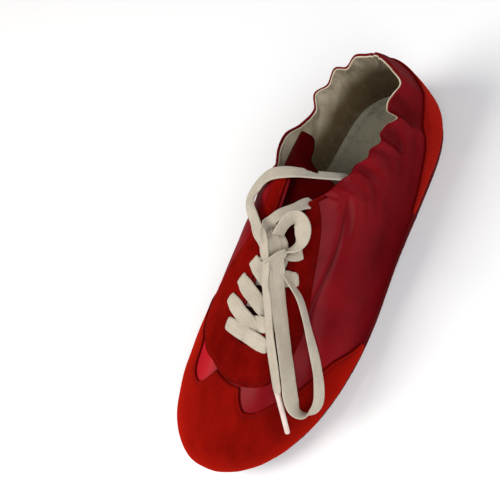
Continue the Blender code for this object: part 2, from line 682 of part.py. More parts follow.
def make_tube(name, points, radius, colour):
    """Round tube with closed ends along points."""
    curve = bpy.data.curves.new(name, "CURVE")
    curve.dimensions = "3D"
    curve.bevel_depth = radius * MM
    curve.bevel_resolution = 2
    curve.use_fill_caps = True
    spline = curve.splines.new("POLY")
    spline.points.add(len(points) - 1)
    for point, place in zip(spline.points, (np.asarray(points) - (X_MIDDLE, LENGTH / 2, 0)) * MM):
        point.co = (*place, 1)
    obj = bpy.data.objects.new(name, curve)
    bpy.context.collection.objects.link(obj)
    paint(obj, colour, 0.9)
    return obj


def make_free_laces():
    ends = {"bow_loop": knot_exit("bow_loop_back")[::-1]}
    for name, route in ROUTES.items():
        points = knot_exit(name) + route + ends.get(name, [])
        make_tube(name, smooth_route(points, CORD_POINT_EVERY), CORD_RADIUS, CREAM)
    last, before = (np.array(ROUTES["lace_end"][k]) for k in (-1, -2))
    towards = (last - before) / np.linalg.norm(last - before)
    tip = np.array(AGLET_TIP)
    make_tube("aglet", [last + towards * SEAT, tip], AGLET_RADIUS, CREAM)


def main():
    clear_scene()
    make_outsole()
    make_insole()
    make_upper()
    make_toe_guard()
    make_eyestay()
    make_heel_counter()
    make_tongue()
    make_lace_bars()
    make_knot()
    make_free_laces()


main()
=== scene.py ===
"""Looks of a low lace-up sneaker, left shoe: leather, suede, lining, stitching, lace, sole, light and camera.

Shapes are worked out in millimetres on the last: s is the distance from the toe tip along the shoe, x is
positive on the lateral side and z is up. to_frame() turns them into the frame's metres.
"""

import bpy
import numpy as np
from mathutils import Matrix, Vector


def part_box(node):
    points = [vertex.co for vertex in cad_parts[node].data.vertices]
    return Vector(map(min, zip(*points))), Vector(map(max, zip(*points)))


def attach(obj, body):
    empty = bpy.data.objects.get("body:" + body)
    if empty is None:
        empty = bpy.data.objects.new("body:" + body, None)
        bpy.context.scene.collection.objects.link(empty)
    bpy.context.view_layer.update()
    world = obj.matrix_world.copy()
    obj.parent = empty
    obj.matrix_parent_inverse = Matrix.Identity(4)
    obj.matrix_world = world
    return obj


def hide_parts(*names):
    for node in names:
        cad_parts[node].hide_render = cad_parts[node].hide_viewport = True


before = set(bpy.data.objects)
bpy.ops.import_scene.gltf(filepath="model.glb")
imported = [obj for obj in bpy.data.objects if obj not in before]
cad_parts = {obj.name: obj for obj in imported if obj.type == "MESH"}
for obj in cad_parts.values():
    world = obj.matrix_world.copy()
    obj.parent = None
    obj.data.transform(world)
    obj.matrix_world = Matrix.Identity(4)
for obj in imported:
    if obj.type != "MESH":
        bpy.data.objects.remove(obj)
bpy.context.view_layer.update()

MM = 0.001
LAST_LOW, LAST_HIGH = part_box("upper")
LENGTH = round((LAST_HIGH.y - LAST_LOW.y) / MM)
X_MIDDLE = -1.0

# ---------------------------------------------------------------- the last

# Plan outline at the widest line, from the heel's back along the lateral side to the toe and back.
# Columns: s, x.
OUTLINE = np.array([
    (262, 5.0), (255, 22.5), (237, 34.5), (205, 39.5), (165, 43.0), (125, 47.5), (92, 48.5), (58, 43.5),
    (28, 31.5), (8, 13.5), (0, -8.5), (6, -28.5), (26, -43.0), (55, -49.5), (85, -50.5), (120, -45.5),
    (160, -37.0), (205, -30.5), (238, -27.0), (255, -15.0),
])
# The last's sections: heights of the feather edge, the widest line and the crest, the spine's x, then the
# powers of each side's arch in plan and in rise, and how far each side leans in at its top.
SECTION_COLUMNS = (
    "s", "feather", "widest", "crest", "spine",
    "plan_lateral", "rise_lateral", "plan_medial", "rise_medial", "lean_lateral", "lean_medial",
)
SECTIONS = np.array([
    (0, 12.0, 17.0, 31.0, 1.0, 3.0, 2.0, 3.0, 2.0, 0, 0),
    (30, 7.5, 12.5, 37.0, 1.0, 2.8, 2.0, 2.8, 2.0, 0, 0),
    (60, 5.2, 10.5, 42.0, 1.0, 2.4, 2.0, 2.6, 2.0, 0, 0),
    (84, 5.0, 10.5, 47.0, 1.0, 2.2, 2.0, 2.5, 2.1, 0, 0),
    (100, 5.0, 10.5, 51.8, 1.2, 2.1, 2.0, 2.6, 2.3, 0, 0),
    (115, 5.0, 10.5, 56.5, 3.0, 2.0, 2.0, 2.8, 2.5, 0, 0),
    (145, 5.5, 11.5, 67.0, 6.0, 2.0, 2.0, 3.0, 2.8, 0, 0),
    (168, 6.2, 12.5, 72.5, 6.5, 2.1, 2.1, 3.0, 2.8, 3, -1),
    (195, 7.0, 13.5, 79.0, 5.0, 2.4, 2.4, 2.6, 2.6, 12, -5),
    (230, 7.6, 14.5, 84.0, 4.0, 2.5, 2.5, 2.5, 2.5, 14, -4),
    (250, 8.0, 15.5, 84.0, 4.0, 2.5, 2.5, 2.5, 2.5, 6, 0),
    (262, 8.0, 16.0, 84.0, 4.0, 2.5, 2.5, 2.5, 2.5, 0, 0),
])
TUCK, TUCK_ROUND = 2.5, 0.85  # how far the feather edge lies inside the widest line, and how round it goes
LEAN_POWER = 1.3
TOE_RAMP = 0.30
VAMP_S, HEEL_S = 84.0, 226.0  # ends of the spine that the ribs run to
SPINE_ROUND = 10.0
COLLAR = np.array([  # columns: s, z on the lateral side, z on the medial side
    (150, 92.0, 92.0), (157, 78.0, 90.0), (163, 70.6, 84.5), (168, 68.8, 78.0), (176, 66.3, 67.5),
    (190, 61.5, 61.5), (205, 57.0, 57.0), (218, 55.0, 55.0), (232, 55.0, 55.0), (245, 58.0, 58.0),
    (255, 62.5, 62.5), (262, 64.5, 64.5),
])
THROAT_HALF, THROAT_FRONT = 8.5, 3.5  # throat's edge from the spine, at its sides and its toe end
THROAT_END_S = 150.0
NO_COLLAR = 3.0  # an angle past every rib's end
CORNER_SOFTNESS = 0.05
TURN_STEP, ANGLE_STEP = 2e-4, 1e-3  # for slopes taken over the last
HALVINGS = 30  # of the range in which an angle is looked for
RIB_COUNT = 2400  # ribs for looking up the last's height and an inset outline


def to_frame(points):
    """Millimetres on the last to metres in the frame."""
    return (np.asarray(points, float) - (X_MIDDLE, LENGTH / 2, 0)) * MM


def unit(vectors):
    """Vectors along the last axis, each divided by its length."""
    vectors = np.asarray(vectors, float)
    return vectors / np.linalg.norm(vectors, axis=-1, keepdims=True)


def distance_along(points):
    """Distance from the first point of a line to each of its points."""
    return np.concatenate([[0], np.cumsum(np.linalg.norm(np.diff(points, axis=0), axis=1))])


def read_at(distance, gone, columns):
    """Each column of a line's table read at some distances along the line."""
    return np.stack([np.interp(distance, gone, column) for column in columns.T], -1)


def bell(value, width):
    """1 at zero, falling off on both sides like a bell of that half width."""
    return np.exp(-((value / width) ** 2))


def along(table, column, at):
    """Monotone cubic through a table's column: no overshoot between rows."""
    t, v = table[:, 0], table[:, column]
    step = np.diff(t)
    slope = np.diff(v) / step
    tangent = np.zeros(len(t))
    tangent[0], tangent[-1] = slope[0], slope[-1]
    before, after = slope[:-1], slope[1:]
    same = before * after > 0
    w1, w2 = 2 * step[1:] + step[:-1], step[1:] + 2 * step[:-1]
    before, after = np.where(same, before, 1), np.where(same, after, 1)
    tangent[1:-1] = np.where(same, (w1 + w2) / (w1 / before + w2 / after), 0)
    at = np.clip(np.asarray(at, float), t[0], t[-1])
    k = np.clip(np.searchsorted(t, at, side="right") - 1, 0, len(t) - 2)
    u = (at - t[k]) / step[k]
    return (
        v[k] * (1 + 2 * u) * (1 - u) ** 2
        + tangent[k] * step[k] * u * (1 - u) ** 2
        + v[k + 1] * u * u * (3 - 2 * u)
        + tangent[k + 1] * step[k] * u * u * (u - 1)
    )


def section(name, at):
    """One of the last's section values at some distances from the toe tip."""
    return along(SECTIONS, SECTION_COLUMNS.index(name), at)


def smooth(value, low, high):
    """0 below low, 1 above high, and a smooth cubic between."""
    u = np.clip((value - low) / (high - low), 0, 1)
    return u * u * (3 - 2 * u)


def plateau(value, start, full, fading, gone):
    """1 between full and fading, 0 before start and after gone, and smooth between."""
    return smooth(value, start, full) * (1 - smooth(value, fading, gone))


class Outline:
    """Closed cubic spline through the OUTLINE points: turn 0 and 1 are the heel's back, the toe lies between.
    Its second derivatives at the points solve one linear system, so that the slope runs on through each."""

    def __init__(self, points):
        count = len(points)
        chord = np.linalg.norm(np.roll(points, -1, 0) - points, axis=1) ** 0.5
        self.knots = np.concatenate([[0], np.cumsum(chord)])
        self.chord, self.points = chord, points
        system, right = np.zeros((count, count)), np.zeros((count, 2))
        for i in range(count):
            back, ahead = chord[i - 1], chord[i]
            system[i, i - 1] += back
            system[i, i] += 2 * (back + ahead)
            system[i, (i + 1) % count] += ahead
            right[i] = 6 * (
                (points[(i + 1) % count] - points[i]) / ahead - (points[i] - points[i - 1]) / back
            )
        self.bend = np.linalg.solve(system, right)
        self.fine = np.linspace(0, 1, RIB_COUNT + 1)
        self.fine_s, x = self.at(self.fine)
        self.round = distance_along(np.stack([self.fine_s, x], -1))
        self.toe = self.fine[np.argmin(self.fine_s)]

    def at(self, turn):
        """Place on the outline, s and x, at some turns."""
        q = np.mod(turn, 1.0) * self.knots[-1]
        i = np.clip(np.searchsorted(self.knots, q, side="right") - 1, 0, len(self.chord) - 1)
        j = (i + 1) % len(self.chord)
        h = self.chord[i][..., None]
        a, b = (self.knots[i + 1] - q)[..., None], (q - self.knots[i])[..., None]
        p = (
            (self.bend[i] * a**3 + self.bend[j] * b**3) / (6 * h)
            + (self.points[i] / h - self.bend[i] * h / 6) * a
            + (self.points[j] / h - self.bend[j] * h / 6) * b
        )
        return p[..., 0], p[..., 1]

    def from_heel(self, turn):
        """Distance round the outline from the heel's back: positive on the lateral side."""
        d = np.interp(np.mod(turn, 1.0), self.fine, self.round)
        return np.where(d > self.round[-1] / 2, d - self.round[-1], d)

    def turn_round(self, distance):
        """Turn at a distance round the outline from the heel's back."""
        return np.interp(np.mod(distance, self.round[-1]), self.round, self.fine)

    def turn_at(self, s, side):
        """Turn where the lateral or medial side passes s."""
        lateral = self.fine <= self.toe
        if side == "lateral":
            return np.interp(-np.asarray(s, float), -self.fine_s[lateral], self.fine[lateral])
        return np.interp(s, self.fine_s[~lateral], self.fine[~lateral])


PLAN = Outline(OUTLINE)


def soft_clamp(value, low, high):
    """Value kept between low and high, with a hyperbola round each corner in place of a kink."""

    def ramp(d):
        return 0.5 * (d + np.sqrt(d * d + SPINE_ROUND * SPINE_ROUND))

    return low + ramp(value - low) - ramp(value - high)


class Ribs:
    """The last's ribs at some turns, each from the plan outline over to a point of the spine."""

    def __init__(self, turn):
        self.turn = np.asarray(turn, float)
        self.s, self.x = PLAN.at(self.turn)
        self.end_s = soft_clamp(self.s, VAMP_S, HEEL_S)
        self.end_x = section("spine", self.end_s)
        self.length = np.hypot(self.end_x - self.x, self.end_s - self.s)
        self.inward_x = (self.end_x - self.x) / self.length
        self.inward_s = (self.end_s - self.s) / self.length
        self.medial = 0.5 + 0.5 * self.inward_x
        self.plan, self.rise, self.lean = (self.mix(name) for name in ("plan", "rise", "lean"))
        self.feather, self.widest = section("feather", self.s), section("widest", self.s)
        self.crest = section("crest", self.end_s)

    def mix(self, name):
        """A section value that has a lateral and a medial column, by the side that each rib starts on."""
        lateral, medial = section(name + "_lateral", self.s), section(name + "_medial", self.s)
        return lateral * (1 - self.medial) + medial * self.medial

    def inset(self, distance, z):
        """Points at height z, some distance in from the outline along the ribs."""
        return np.stack(
            [self.x + self.inward_x * distance, self.s + self.inward_s * distance, z + 0 * self.x], -1
        )

    def points(self, angle):
        """Superellipse arches: angle 0 is the widest line, pi/2 the spine and -1 the feather edge. Below the
        widest line they tuck in along an ellipse, and in front the spine's end ramps down to the toe."""
        up, down = np.clip(angle, 0, np.pi / 2), np.clip(-angle, 0, 1)
        share = 1 - np.cos(up) ** (2 / self.plan)
        height = np.sin(up) ** (2 / self.rise)
        ramp = TOE_RAMP * np.clip(self.end_s - self.s, 0, None) / 2
        z = self.widest + (self.crest - self.widest - ramp) * height + ramp * share**2
        z = z - (self.widest - self.feather) * down
        tuck = TUCK * (1 - np.sqrt(1 - TUCK_ROUND * down**2)) / (1 - np.sqrt(1 - TUCK_ROUND))
        distance = share * self.length + tuck + self.lean * height**LEAN_POWER
        return self.inset(distance, z)

    def angle_to(self, distance):
        """Angle at which a rib is that far from its spine point in plan."""
        return np.arccos(np.clip(distance / self.length, 0, 1) ** (self.plan / 2))

    def angle_up(self, z):
        """Angle at which a rib reaches height z, below the widest line too."""
        low, high = np.zeros(self.x.shape), np.full(self.x.shape, np.pi / 2)
        for _ in range(HALVINGS):
            middle = (low + high) / 2
            below = self.points(middle)[..., 2] < z
            low, high = np.where(below, middle, low), np.where(below, high, middle)
        under = -np.clip((self.widest - z) / (self.widest - self.feather), 0, 1)
        return np.where(z < self.widest, under, (low + high) / 2)


# Gathers of the elastic collar. Columns: distance round from the heel's back (lateral positive), how far
# the edge is pushed inwards, and how far it is raised.
GATHERS = np.array([
    (-125, 0.0, 0.0), (-112, 0.3, 0.0), (-104, 1.0, -0.4), (-95, -1.2, 0.3), (-84, -2.8, 1.2),
    (-74, 0.8, -0.4), (-63, 2.8, -1.2), (-54, -1.6, 0.8), (-45, 1.2, -0.5), (-35, -1.8, 0.9),
    (-27, 2.0, -0.9), (-17, -1.0, 0.4), (-8, 0.3, 0.0), (0, 0.0, 0.0), (10, 0.4, 0.0), (19, -0.6, 0.2),
    (28, -2.6, -0.8), (36, 1.5, 0.8), (42, 4.2, 1.2), (46.5, 3.6, 0.8), (51.5, -3.4, -1.8), (58, 1.2, 0.6),
    (63, 2.4, 0.8), (68.5, -0.8, -0.6), (74, 1.6, 0.5), (80, -0.9, -0.4), (86, 1.3, 0.4), (92, -1.0, -0.3),
    (98, 0.8, 0.2), (106, -0.2, 0.0), (116, 0.0, 0.0),
])
GATHER_DEPTH, GATHER_FADE = 13.0, 1.6
MEDIAL_FLAP_OUT = 1.9


def both_sides(table, s, ribs):
    """A table with a lateral and a medial column, mixed by the side that each rib starts on."""
    return along(table, 1, s) * (1 - ribs.medial) + along(table, 2, s) * ribs.medial


def collar_height(ribs):
    """Height of the gathered collar's edge where each rib meets it."""
    return both_sides(COLLAR, ribs.s, ribs) + along(GATHERS, 2, PLAN.from_heel(ribs.turn))


def edge_angle(ribs):
    """Angle at which throat and collar cut the ribs: the smaller of the two, rounded where they meet."""
    toewards = np.clip(ribs.inward_s, 0, 1) ** 2
    throat = ribs.angle_to(THROAT_HALF + (THROAT_FRONT - THROAT_HALF) * toewards)
    collar = np.where(ribs.s < THROAT_END_S, NO_COLLAR, ribs.angle_up(collar_height(ribs)))
    k = CORNER_SOFTNESS
    return -k * np.log(np.exp(-throat / k) + np.exp(-collar / k))


LATERAL, MEDIAL = 1, -1
# Soft creases of the quarters, drawn on the side of the shoe. Columns: s and z where each starts, s and z
# where it ends, how wide it is, how deep (a ridge is negative), and its side.
CREASES = np.array([
    (232, 48, 214, 30, 3.2, 0.9, LATERAL),
    (226, 50, 205, 36, 2.6, -0.7, LATERAL),
    (219, 49, 196, 34, 2.6, 0.8, LATERAL),
    (206, 52, 188, 36, 2.4, 0.7, LATERAL),
    (199, 53, 180, 41, 2.2, -0.6, LATERAL),
    (192, 56, 172, 42, 2.2, 0.7, LATERAL),
    (186, 58, 166, 46, 1.9, 0.5, LATERAL),
    (180, 61, 160, 50, 1.9, -0.5, LATERAL),
    (176, 63, 154, 52, 1.7, 0.5, LATERAL),
    (240, 40, 226, 26, 3.0, 0.6, LATERAL),
    (198, 50, 181, 31, 3.4, -0.8, LATERAL),
    (188, 44, 171, 27, 4.0, 0.6, LATERAL),
    (180, 64, 167, 63, 2.0, -0.5, LATERAL),
    (212, 28, 190, 24, 3.6, 0.5, LATERAL),
    (176, 34, 150, 30, 5.0, 0.6, LATERAL),
    (150, 36, 126, 28, 4.5, -0.5, LATERAL),
    (140, 30, 118, 22, 4.0, 0.5, LATERAL),
    (240, 46, 224, 30, 2.8, 0.7, MEDIAL),
    (222, 50, 206, 34, 2.6, -0.6, MEDIAL),
    (212, 50, 196, 36, 2.5, 0.7, MEDIAL),
    (198, 54, 184, 40, 2.4, 0.6, MEDIAL),
    (186, 58, 172, 44, 2.2, -0.5, MEDIAL),
    (178, 60, 160, 46, 2.2, 0.6, MEDIAL),
    (168, 40, 144, 32, 4.5, 0.6, MEDIAL),
    (150, 44, 128, 30, 4.0, 0.5, MEDIAL),
    (132, 34, 112, 24, 4.0, -0.4, MEDIAL),
])
CREASE_BOW, CREASE_DEEP = 0.10, 1.35
CREASE_FADE = (-0.25, 0.35, 0.55, 1.3)
# Half the width of the leather strip up the heel's back. Columns: z, mm from the middle line.
HEEL_STRIP = np.array([(38.0, 15.0), (41.0, 14.0), (46.0, 10.0), (53.0, 7.0), (61.0, 3.6), (68.0, 2.6)])
# Seam down each quarter, (s, z) from top to bottom.
QUARTER_SEAM = np.array([
    (92.0, 33.0), (100.3, 40.3), (103.3, 43.1), (111.0, 46.3), (120.0, 48.7), (126.2, 49.9), (140.0, 52.3),
    (153.0, 54.9), (167.0, 58.2), (174.5, 59.7),
])
SEAM_RUN, SEAM_DARK_RUN = (88, 100, 160, 176), (88, 100, 166, 176)
SEAM_STEP, SEAM_CUT, SEAM_HALF = 0.30, 0.85, 0.8
STRIP_PROUD, STRIP_CUT, STRIP_SIDE = 0.35, 0.75, 0.7
PLEAT_HIGH, PLEAT_REACH = 0.24, 17.0
COLLAR_FROM_S, PLEATS_BESIDE = (158, 178), (12, 24)
STRIP_FROM_S, STRIP_FROM_Z = (232, 244), (40, 46)
BULGE_MIDDLE, BULGE_HALF = (165, 57), (12, 6)  # s and z
UNEVEN = 0.18


def crease_trough(s, z, crease):
    """Bell-shaped trough about a line between two points, bowed like half a sine wave and fading out past
    its ends."""
    s_from, z_from, s_to, z_to, width, depth, _ = crease
    run_s, run_z = s_to - s_from, z_to - z_from
    length = np.hypot(run_s, run_z)
    u = ((s - s_from) * run_s + (z - z_from) * run_z) / length**2
    off = ((s - s_from) * run_z - (z - z_from) * run_s) / length
    off = off + CREASE_BOW * length * np.sin(np.pi * u)
    return depth * bell(off, width) * plateau(u, *CREASE_FADE)


def relief(ribs, angle, points):
    """How far the soft upper lies off the last, in mm. The sum of the collar's gathers, which fade out below
    its edge, fine pleats, creases, the quarter seams, the strip up the heel and the medial flap's bulge."""
    s, z = points[..., 1], points[..., 2]
    lateral = points[..., 0] > ribs.end_x
    distance = PLAN.from_heel(ribs.turn)
    drop = np.clip(collar_height(ribs) - z, 0, None)
    collar = smooth(ribs.s, *COLLAR_FROM_S)
    push = along(GATHERS, 1, distance)
    reach = GATHER_DEPTH * (1 + 0.35 * np.sin(distance * 0.31))
    lift = -push * np.exp(-((drop / reach) ** GATHER_FADE)) * collar
    pleats = np.sin(distance * 0.93 + 0.05 * drop) + 0.6 * np.sin(distance * 1.61 - 0.07 * drop + 1.3)
    beside_strip = smooth(np.abs(distance), *PLEATS_BESIDE)
    lift += PLEAT_HIGH * pleats * bell(drop, PLEAT_REACH) * smooth(drop, 0.0, 3.0) * collar * beside_strip
    for crease in CREASES:
        here = lateral if crease[-1] == LATERAL else ~lateral
        lift -= np.where(here, CREASE_DEEP * crease_trough(s, z, crease), 0)
    above = z - np.interp(s, *QUARTER_SEAM.T)
    seam = SEAM_STEP * smooth(above, -0.9, 0.9) - SEAM_CUT * bell(above, SEAM_HALF)
    lift += seam * plateau(s, *SEAM_RUN)
    beside = np.abs(distance) - np.interp(z, *HEEL_STRIP.T)
    strip = STRIP_PROUD * (1 - smooth(beside, -STRIP_SIDE, STRIP_SIDE)) - STRIP_CUT * bell(beside, STRIP_SIDE)
    lift += strip * smooth(ribs.s, *STRIP_FROM_S) * smooth(z, *STRIP_FROM_Z)
    # the medial flap stands away from the foot, and vamp and toe are only a little uneven
    bulge = bell(s - BULGE_MIDDLE[0], BULGE_HALF[0]) * bell(z - BULGE_MIDDLE[1], BULGE_HALF[1])
    lift += np.where(lateral, 0, MEDIAL_FLAP_OUT * bulge)
    return lift + UNEVEN * np.sin(s * 0.21 + points[..., 0] * 0.13) * np.sin(points[..., 0] * 0.17 - s * 0.05)


def shell(turn, angle, lift):
    """Points lift mm outside the soft upper, with the last's unit normal and unit direction up the rib."""
    turn, angle = np.broadcast_arrays(np.asarray(turn, float), np.asarray(angle, float))
    ribs = Ribs(turn)
    here = ribs.points(angle)
    on_turn = Ribs(turn + TURN_STEP).points(angle) - Ribs(turn - TURN_STEP).points(angle)
    on_angle = ribs.points(angle + ANGLE_STEP) - ribs.points(angle - ANGLE_STEP)
    normal = unit(np.cross(on_angle, on_turn))
    outward = np.stack([-ribs.inward_x, -ribs.inward_s, np.where(angle < 0, 0.0, 1.0)], -1)
    normal *= np.sign((normal * outward).sum(-1, keepdims=True))
    total = lift + relief(ribs, angle, here)
    return here + normal * total[..., None], normal, unit(on_angle)


# ---------------------------------------------------------------- meshes


def grid_quads(rows, columns, wrap_rows=False, wrap_columns=False):
    """Quads of a grid of points, as point numbers, and the same corners as unwrapped (row, column)."""
    i, j = np.meshgrid(
        np.arange(rows if wrap_rows else rows - 1), np.arange(columns if wrap_columns else columns - 1),
        indexing="ij",
    )
    corner_rows = np.stack([i, i, i + 1, i + 1], -1).reshape(-1, 4)
    corner_columns = np.stack([j, j + 1, j + 1, j], -1).reshape(-1, 4)
    return corner_rows % rows * columns + corner_columns % columns, corner_rows, corner_columns


def make_piece(name, points, quads, material, uv=None, values=None):
    """One mesh in the frame from points in mm and quads, turned outwards, riding on the shoe.
    uv is one (u, v) for each quad's corner; values are named numbers, one for each point."""
    quads = np.asarray(quads)
    halves = points[quads[:, [0, 1, 2]]], points[quads[:, [0, 2, 3]]]
    volume = sum(np.einsum("ij,ij->i", t[:, 0], np.cross(t[:, 1], t[:, 2])).sum() for t in halves)
    if volume < 0:
        quads = quads[:, ::-1]
        uv = None if uv is None else uv[:, ::-1]
    mesh = bpy.data.meshes.new(name)
    mesh.vertices.add(len(points))
    mesh.vertices.foreach_set("co", to_frame(points).astype(np.float32).ravel())
    mesh.loops.add(quads.size)
    mesh.loops.foreach_set("vertex_index", quads.astype(np.int32).ravel())
    mesh.polygons.add(len(quads))
    mesh.polygons.foreach_set("loop_start", np.arange(0, quads.size, 4, dtype=np.int32))
    mesh.update(calc_edges=True)
    if uv is not None:
        mesh.uv_layers.new(name="UVMap").data.foreach_set("uv", uv.astype(np.float32).ravel())
    for key, value in (values or {}).items():
        numbers = mesh.attributes.new(key, "FLOAT", "POINT").data
        numbers.foreach_set("value", value.astype(np.float32).ravel())
    mesh.shade_smooth()
    piece = bpy.data.objects.new(name, mesh)
    bpy.context.scene.collection.objects.link(piece)
    mesh.materials.append(material)
    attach(piece, "root")
    return piece


def rim_of(rows, columns):
    """Point numbers round the border of a grid."""
    top = np.arange(columns)
    right = np.arange(1, rows) * columns + columns - 1
    bottom = (rows - 1) * columns + np.arange(columns - 2, -1, -1)
    left = np.arange(rows - 2, 0, -1) * columns
    return np.concatenate([top, right, bottom, left])


def slab_quads(rows, columns):
    """Quads of two grids of points, one over the other, joined round their border."""
    over = rows * columns
    top = grid_quads(rows, columns)[0]
    rim = rim_of(rows, columns)
    ahead = np.roll(rim, -1)
    sides = np.stack([rim, over + rim, over + ahead, ahead], -1)
    return np.concatenate([top, over + top[:, ::-1], sides])


def crowded(count, crowd):
    """Numbers from 0 to 1, crowded towards both ends as a cosine is, in part or in full."""
    t = np.linspace(0, 1, count)
    return (1 - crowd) * t + crowd * (1 - np.cos(np.pi * t)) / 2


def strip_over(columns):
    """Quads that close a ring of points straight across, side to side."""
    k = np.arange(columns // 2 - 1)
    return np.stack([k, k + 1, columns - 2 - k, columns - 1 - k], -1)


def tube_quads(rows, columns):
    """Quads of rings closed on themselves, with a strip of quads over each end, and their (row, column)."""
    quads, rows_at, columns_at = grid_quads(rows, columns, wrap_columns=True)
    near, far = strip_over(columns)[:, ::-1], strip_over(columns)
    quads = np.concatenate([quads, near, (rows - 1) * columns + far])
    rows_at = np.concatenate([rows_at, 0 * near, 0 * far + rows - 1])
    return quads, rows_at, np.concatenate([columns_at, near, far])


# ---------------------------------------------------------------- finishes


class Value:
    """One shader socket. Arithmetic on it adds Math nodes."""

    def __init__(self, finish, socket):
        self.finish, self.socket = finish, socket

    def maths(self, operation, *terms):
        """A Math node that works on terms, each a number or another Value."""
        return self.finish.node("ShaderNodeMath", {"operation": operation}, dict(enumerate(terms)))

    def __add__(self, other):
        return self.maths("ADD", self, other)

    def __sub__(self, other):
        return self.maths("SUBTRACT", self, other)

    def __rsub__(self, other):
        return self.maths("SUBTRACT", other, self)

    def __mul__(self, other):
        return self.maths("MULTIPLY", self, other)

    __radd__, __rmul__ = __add__, __mul__

    def clamped(self):
        return self.finish.node("ShaderNodeClamp", {}, {0: self})

    def sine(self):
        return self.maths("SINE", self)

    def between(self, low, high):
        """0 below low, 1 above high, with a smooth step between."""
        sockets = {0: self, 1: low, 2: high, 3: 0.0, 4: 1.0}
        return self.finish.node("ShaderNodeMapRange", {"interpolation_type": "SMOOTHSTEP"}, sockets)


class Finish:
    """A material round one Principled shader. Constants are set on the shader's own sockets."""

    def __init__(self, name, **constants):
        self.material = bpy.data.materials.new(name)
        self.material.use_nodes = True
        self.tree = self.material.node_tree
        self.shader = self.tree.nodes["Principled BSDF"]
        for key, value in constants.items():
            socket = key.replace("_", " ").title().replace("Ior", "IOR")
            self.shader.inputs[socket].default_value = value

    def node(self, kind, settings=None, sockets=None, output=0):
        """One node of a kind, with its settings first and then its sockets' values or links."""
        made = self.tree.nodes.new(kind)
        for key, value in (settings or {}).items():
            setattr(made, key, value)
        for key, value in (sockets or {}).items():
            self.put(made.inputs[key], value)
        return Value(self, made.outputs[output])

    def put(self, socket, value):
        """Links a value to a socket, or sets the socket's own number or colour."""
        if isinstance(value, Value):
            self.tree.links.new(value.socket, socket)
        elif socket.type == "RGBA" and len(value) == 3:
            socket.default_value = (*value, 1)
        else:
            socket.default_value = value

    def coordinates(self, kind="Object", stretch=(1, 1, 1), turn=(0, 0, 0)):
        """Places to read a pattern at, stretched along each axis and turned."""
        place = self.node("ShaderNodeTexCoord", {}, {}, kind)
        return self.node("ShaderNodeMapping", {}, {"Vector": place, "Rotation": turn, "Scale": stretch})

    def noise(self, scale, detail=3.0, rough=0.5, at=None, twist=0.0):
        """Cloudy noise about 0.5, with scale cells to each unit of the places it is read at."""
        at = at or self.coordinates()
        sockets = {"Vector": at, "Scale": scale, "Detail": detail, "Roughness": rough, "Distortion": twist}
        return self.node("ShaderNodeTexNoise", {}, sockets)

    def cells(self, scale):
        """How far each place is from the border of its cell."""
        sockets = {"Vector": self.coordinates(), "Scale": scale}
        return self.node("ShaderNodeTexVoronoi", {"feature": "DISTANCE_TO_EDGE"}, sockets)

    def attribute(self, name):
        """The mesh's own number of that name."""
        return self.node("ShaderNodeAttribute", {"attribute_name": name}, {}, "Fac")

    def mix(self, share, first, second):
        """First colour where the share is 0, second where it is 1."""
        return self.node("ShaderNodeMix", {"data_type": "RGBA"}, {0: share, 6: first, 7: second}, 2)

    def bump(self, height, depth, strength):
        """Normal tilted by a height, whose range of 1 stands for depth metres."""
        sockets = {"Height": height, "Distance": depth, "Strength": strength}
        return self.node("ShaderNodeBump", {}, sockets)

    def wear(self, colour=None, roughness=None, normal=None, coat=None):
        """Links what changes over the surface and gives the material."""
        links = {"Base Color": colour, "Roughness": roughness, "Normal": normal, "Coat Weight": coat}
        for key, value in links.items():
            if value is not None:
                self.put(self.shader.inputs[key], value)
        return self.material


def shade(share, colour):
    """A colour made darker or lighter by one factor."""
    return tuple(share * c for c in colour)


def suede_finish(name, front, rim):
    """Napped suede: brushed patches, a painted sheen that lightens the colour where the surface turns away
    from view, dark cut edges.
    """
    f = Finish(
        name, sheen_weight=0.15, sheen_roughness=0.45, sheen_tint=(1.0, 0.07, 0.03, 1), specular_ior_level=0.0
    )
    nap = f.noise(38.0, 4.0, 0.6, twist=0.6)
    brush = f.noise(150.0, 3.0, 0.6, f.coordinates(stretch=(1.0, 0.35, 1.0)))
    fibre = f.noise(2600.0, 3.0, 0.7)
    away = f.node("ShaderNodeLayerWeight", {}, {0: 0.5}, 1)
    tone = (nap * 0.62 + brush * 0.38).between(0.30, 0.70)
    # painted sheen: the colour goes from front to rim where the surface turns away from view
    colour = f.mix(away, front, rim)
    colour = f.mix(tone * 0.30, colour, (0.45, 0.0080, 0.0040))
    colour = f.mix((fibre - 0.35).clamped() * 0.6, colour, shade(0.3, front))
    colour = f.mix(f.attribute("edge") * 0.65, colour, shade(0.25, front))
    height = fibre * 0.5 + f.noise(900.0, 3.0, 0.6) * 0.8 + brush * 0.7
    return f.wear(colour, 0.88 + 0.10 * brush, f.bump(height, 0.00022, 0.75))


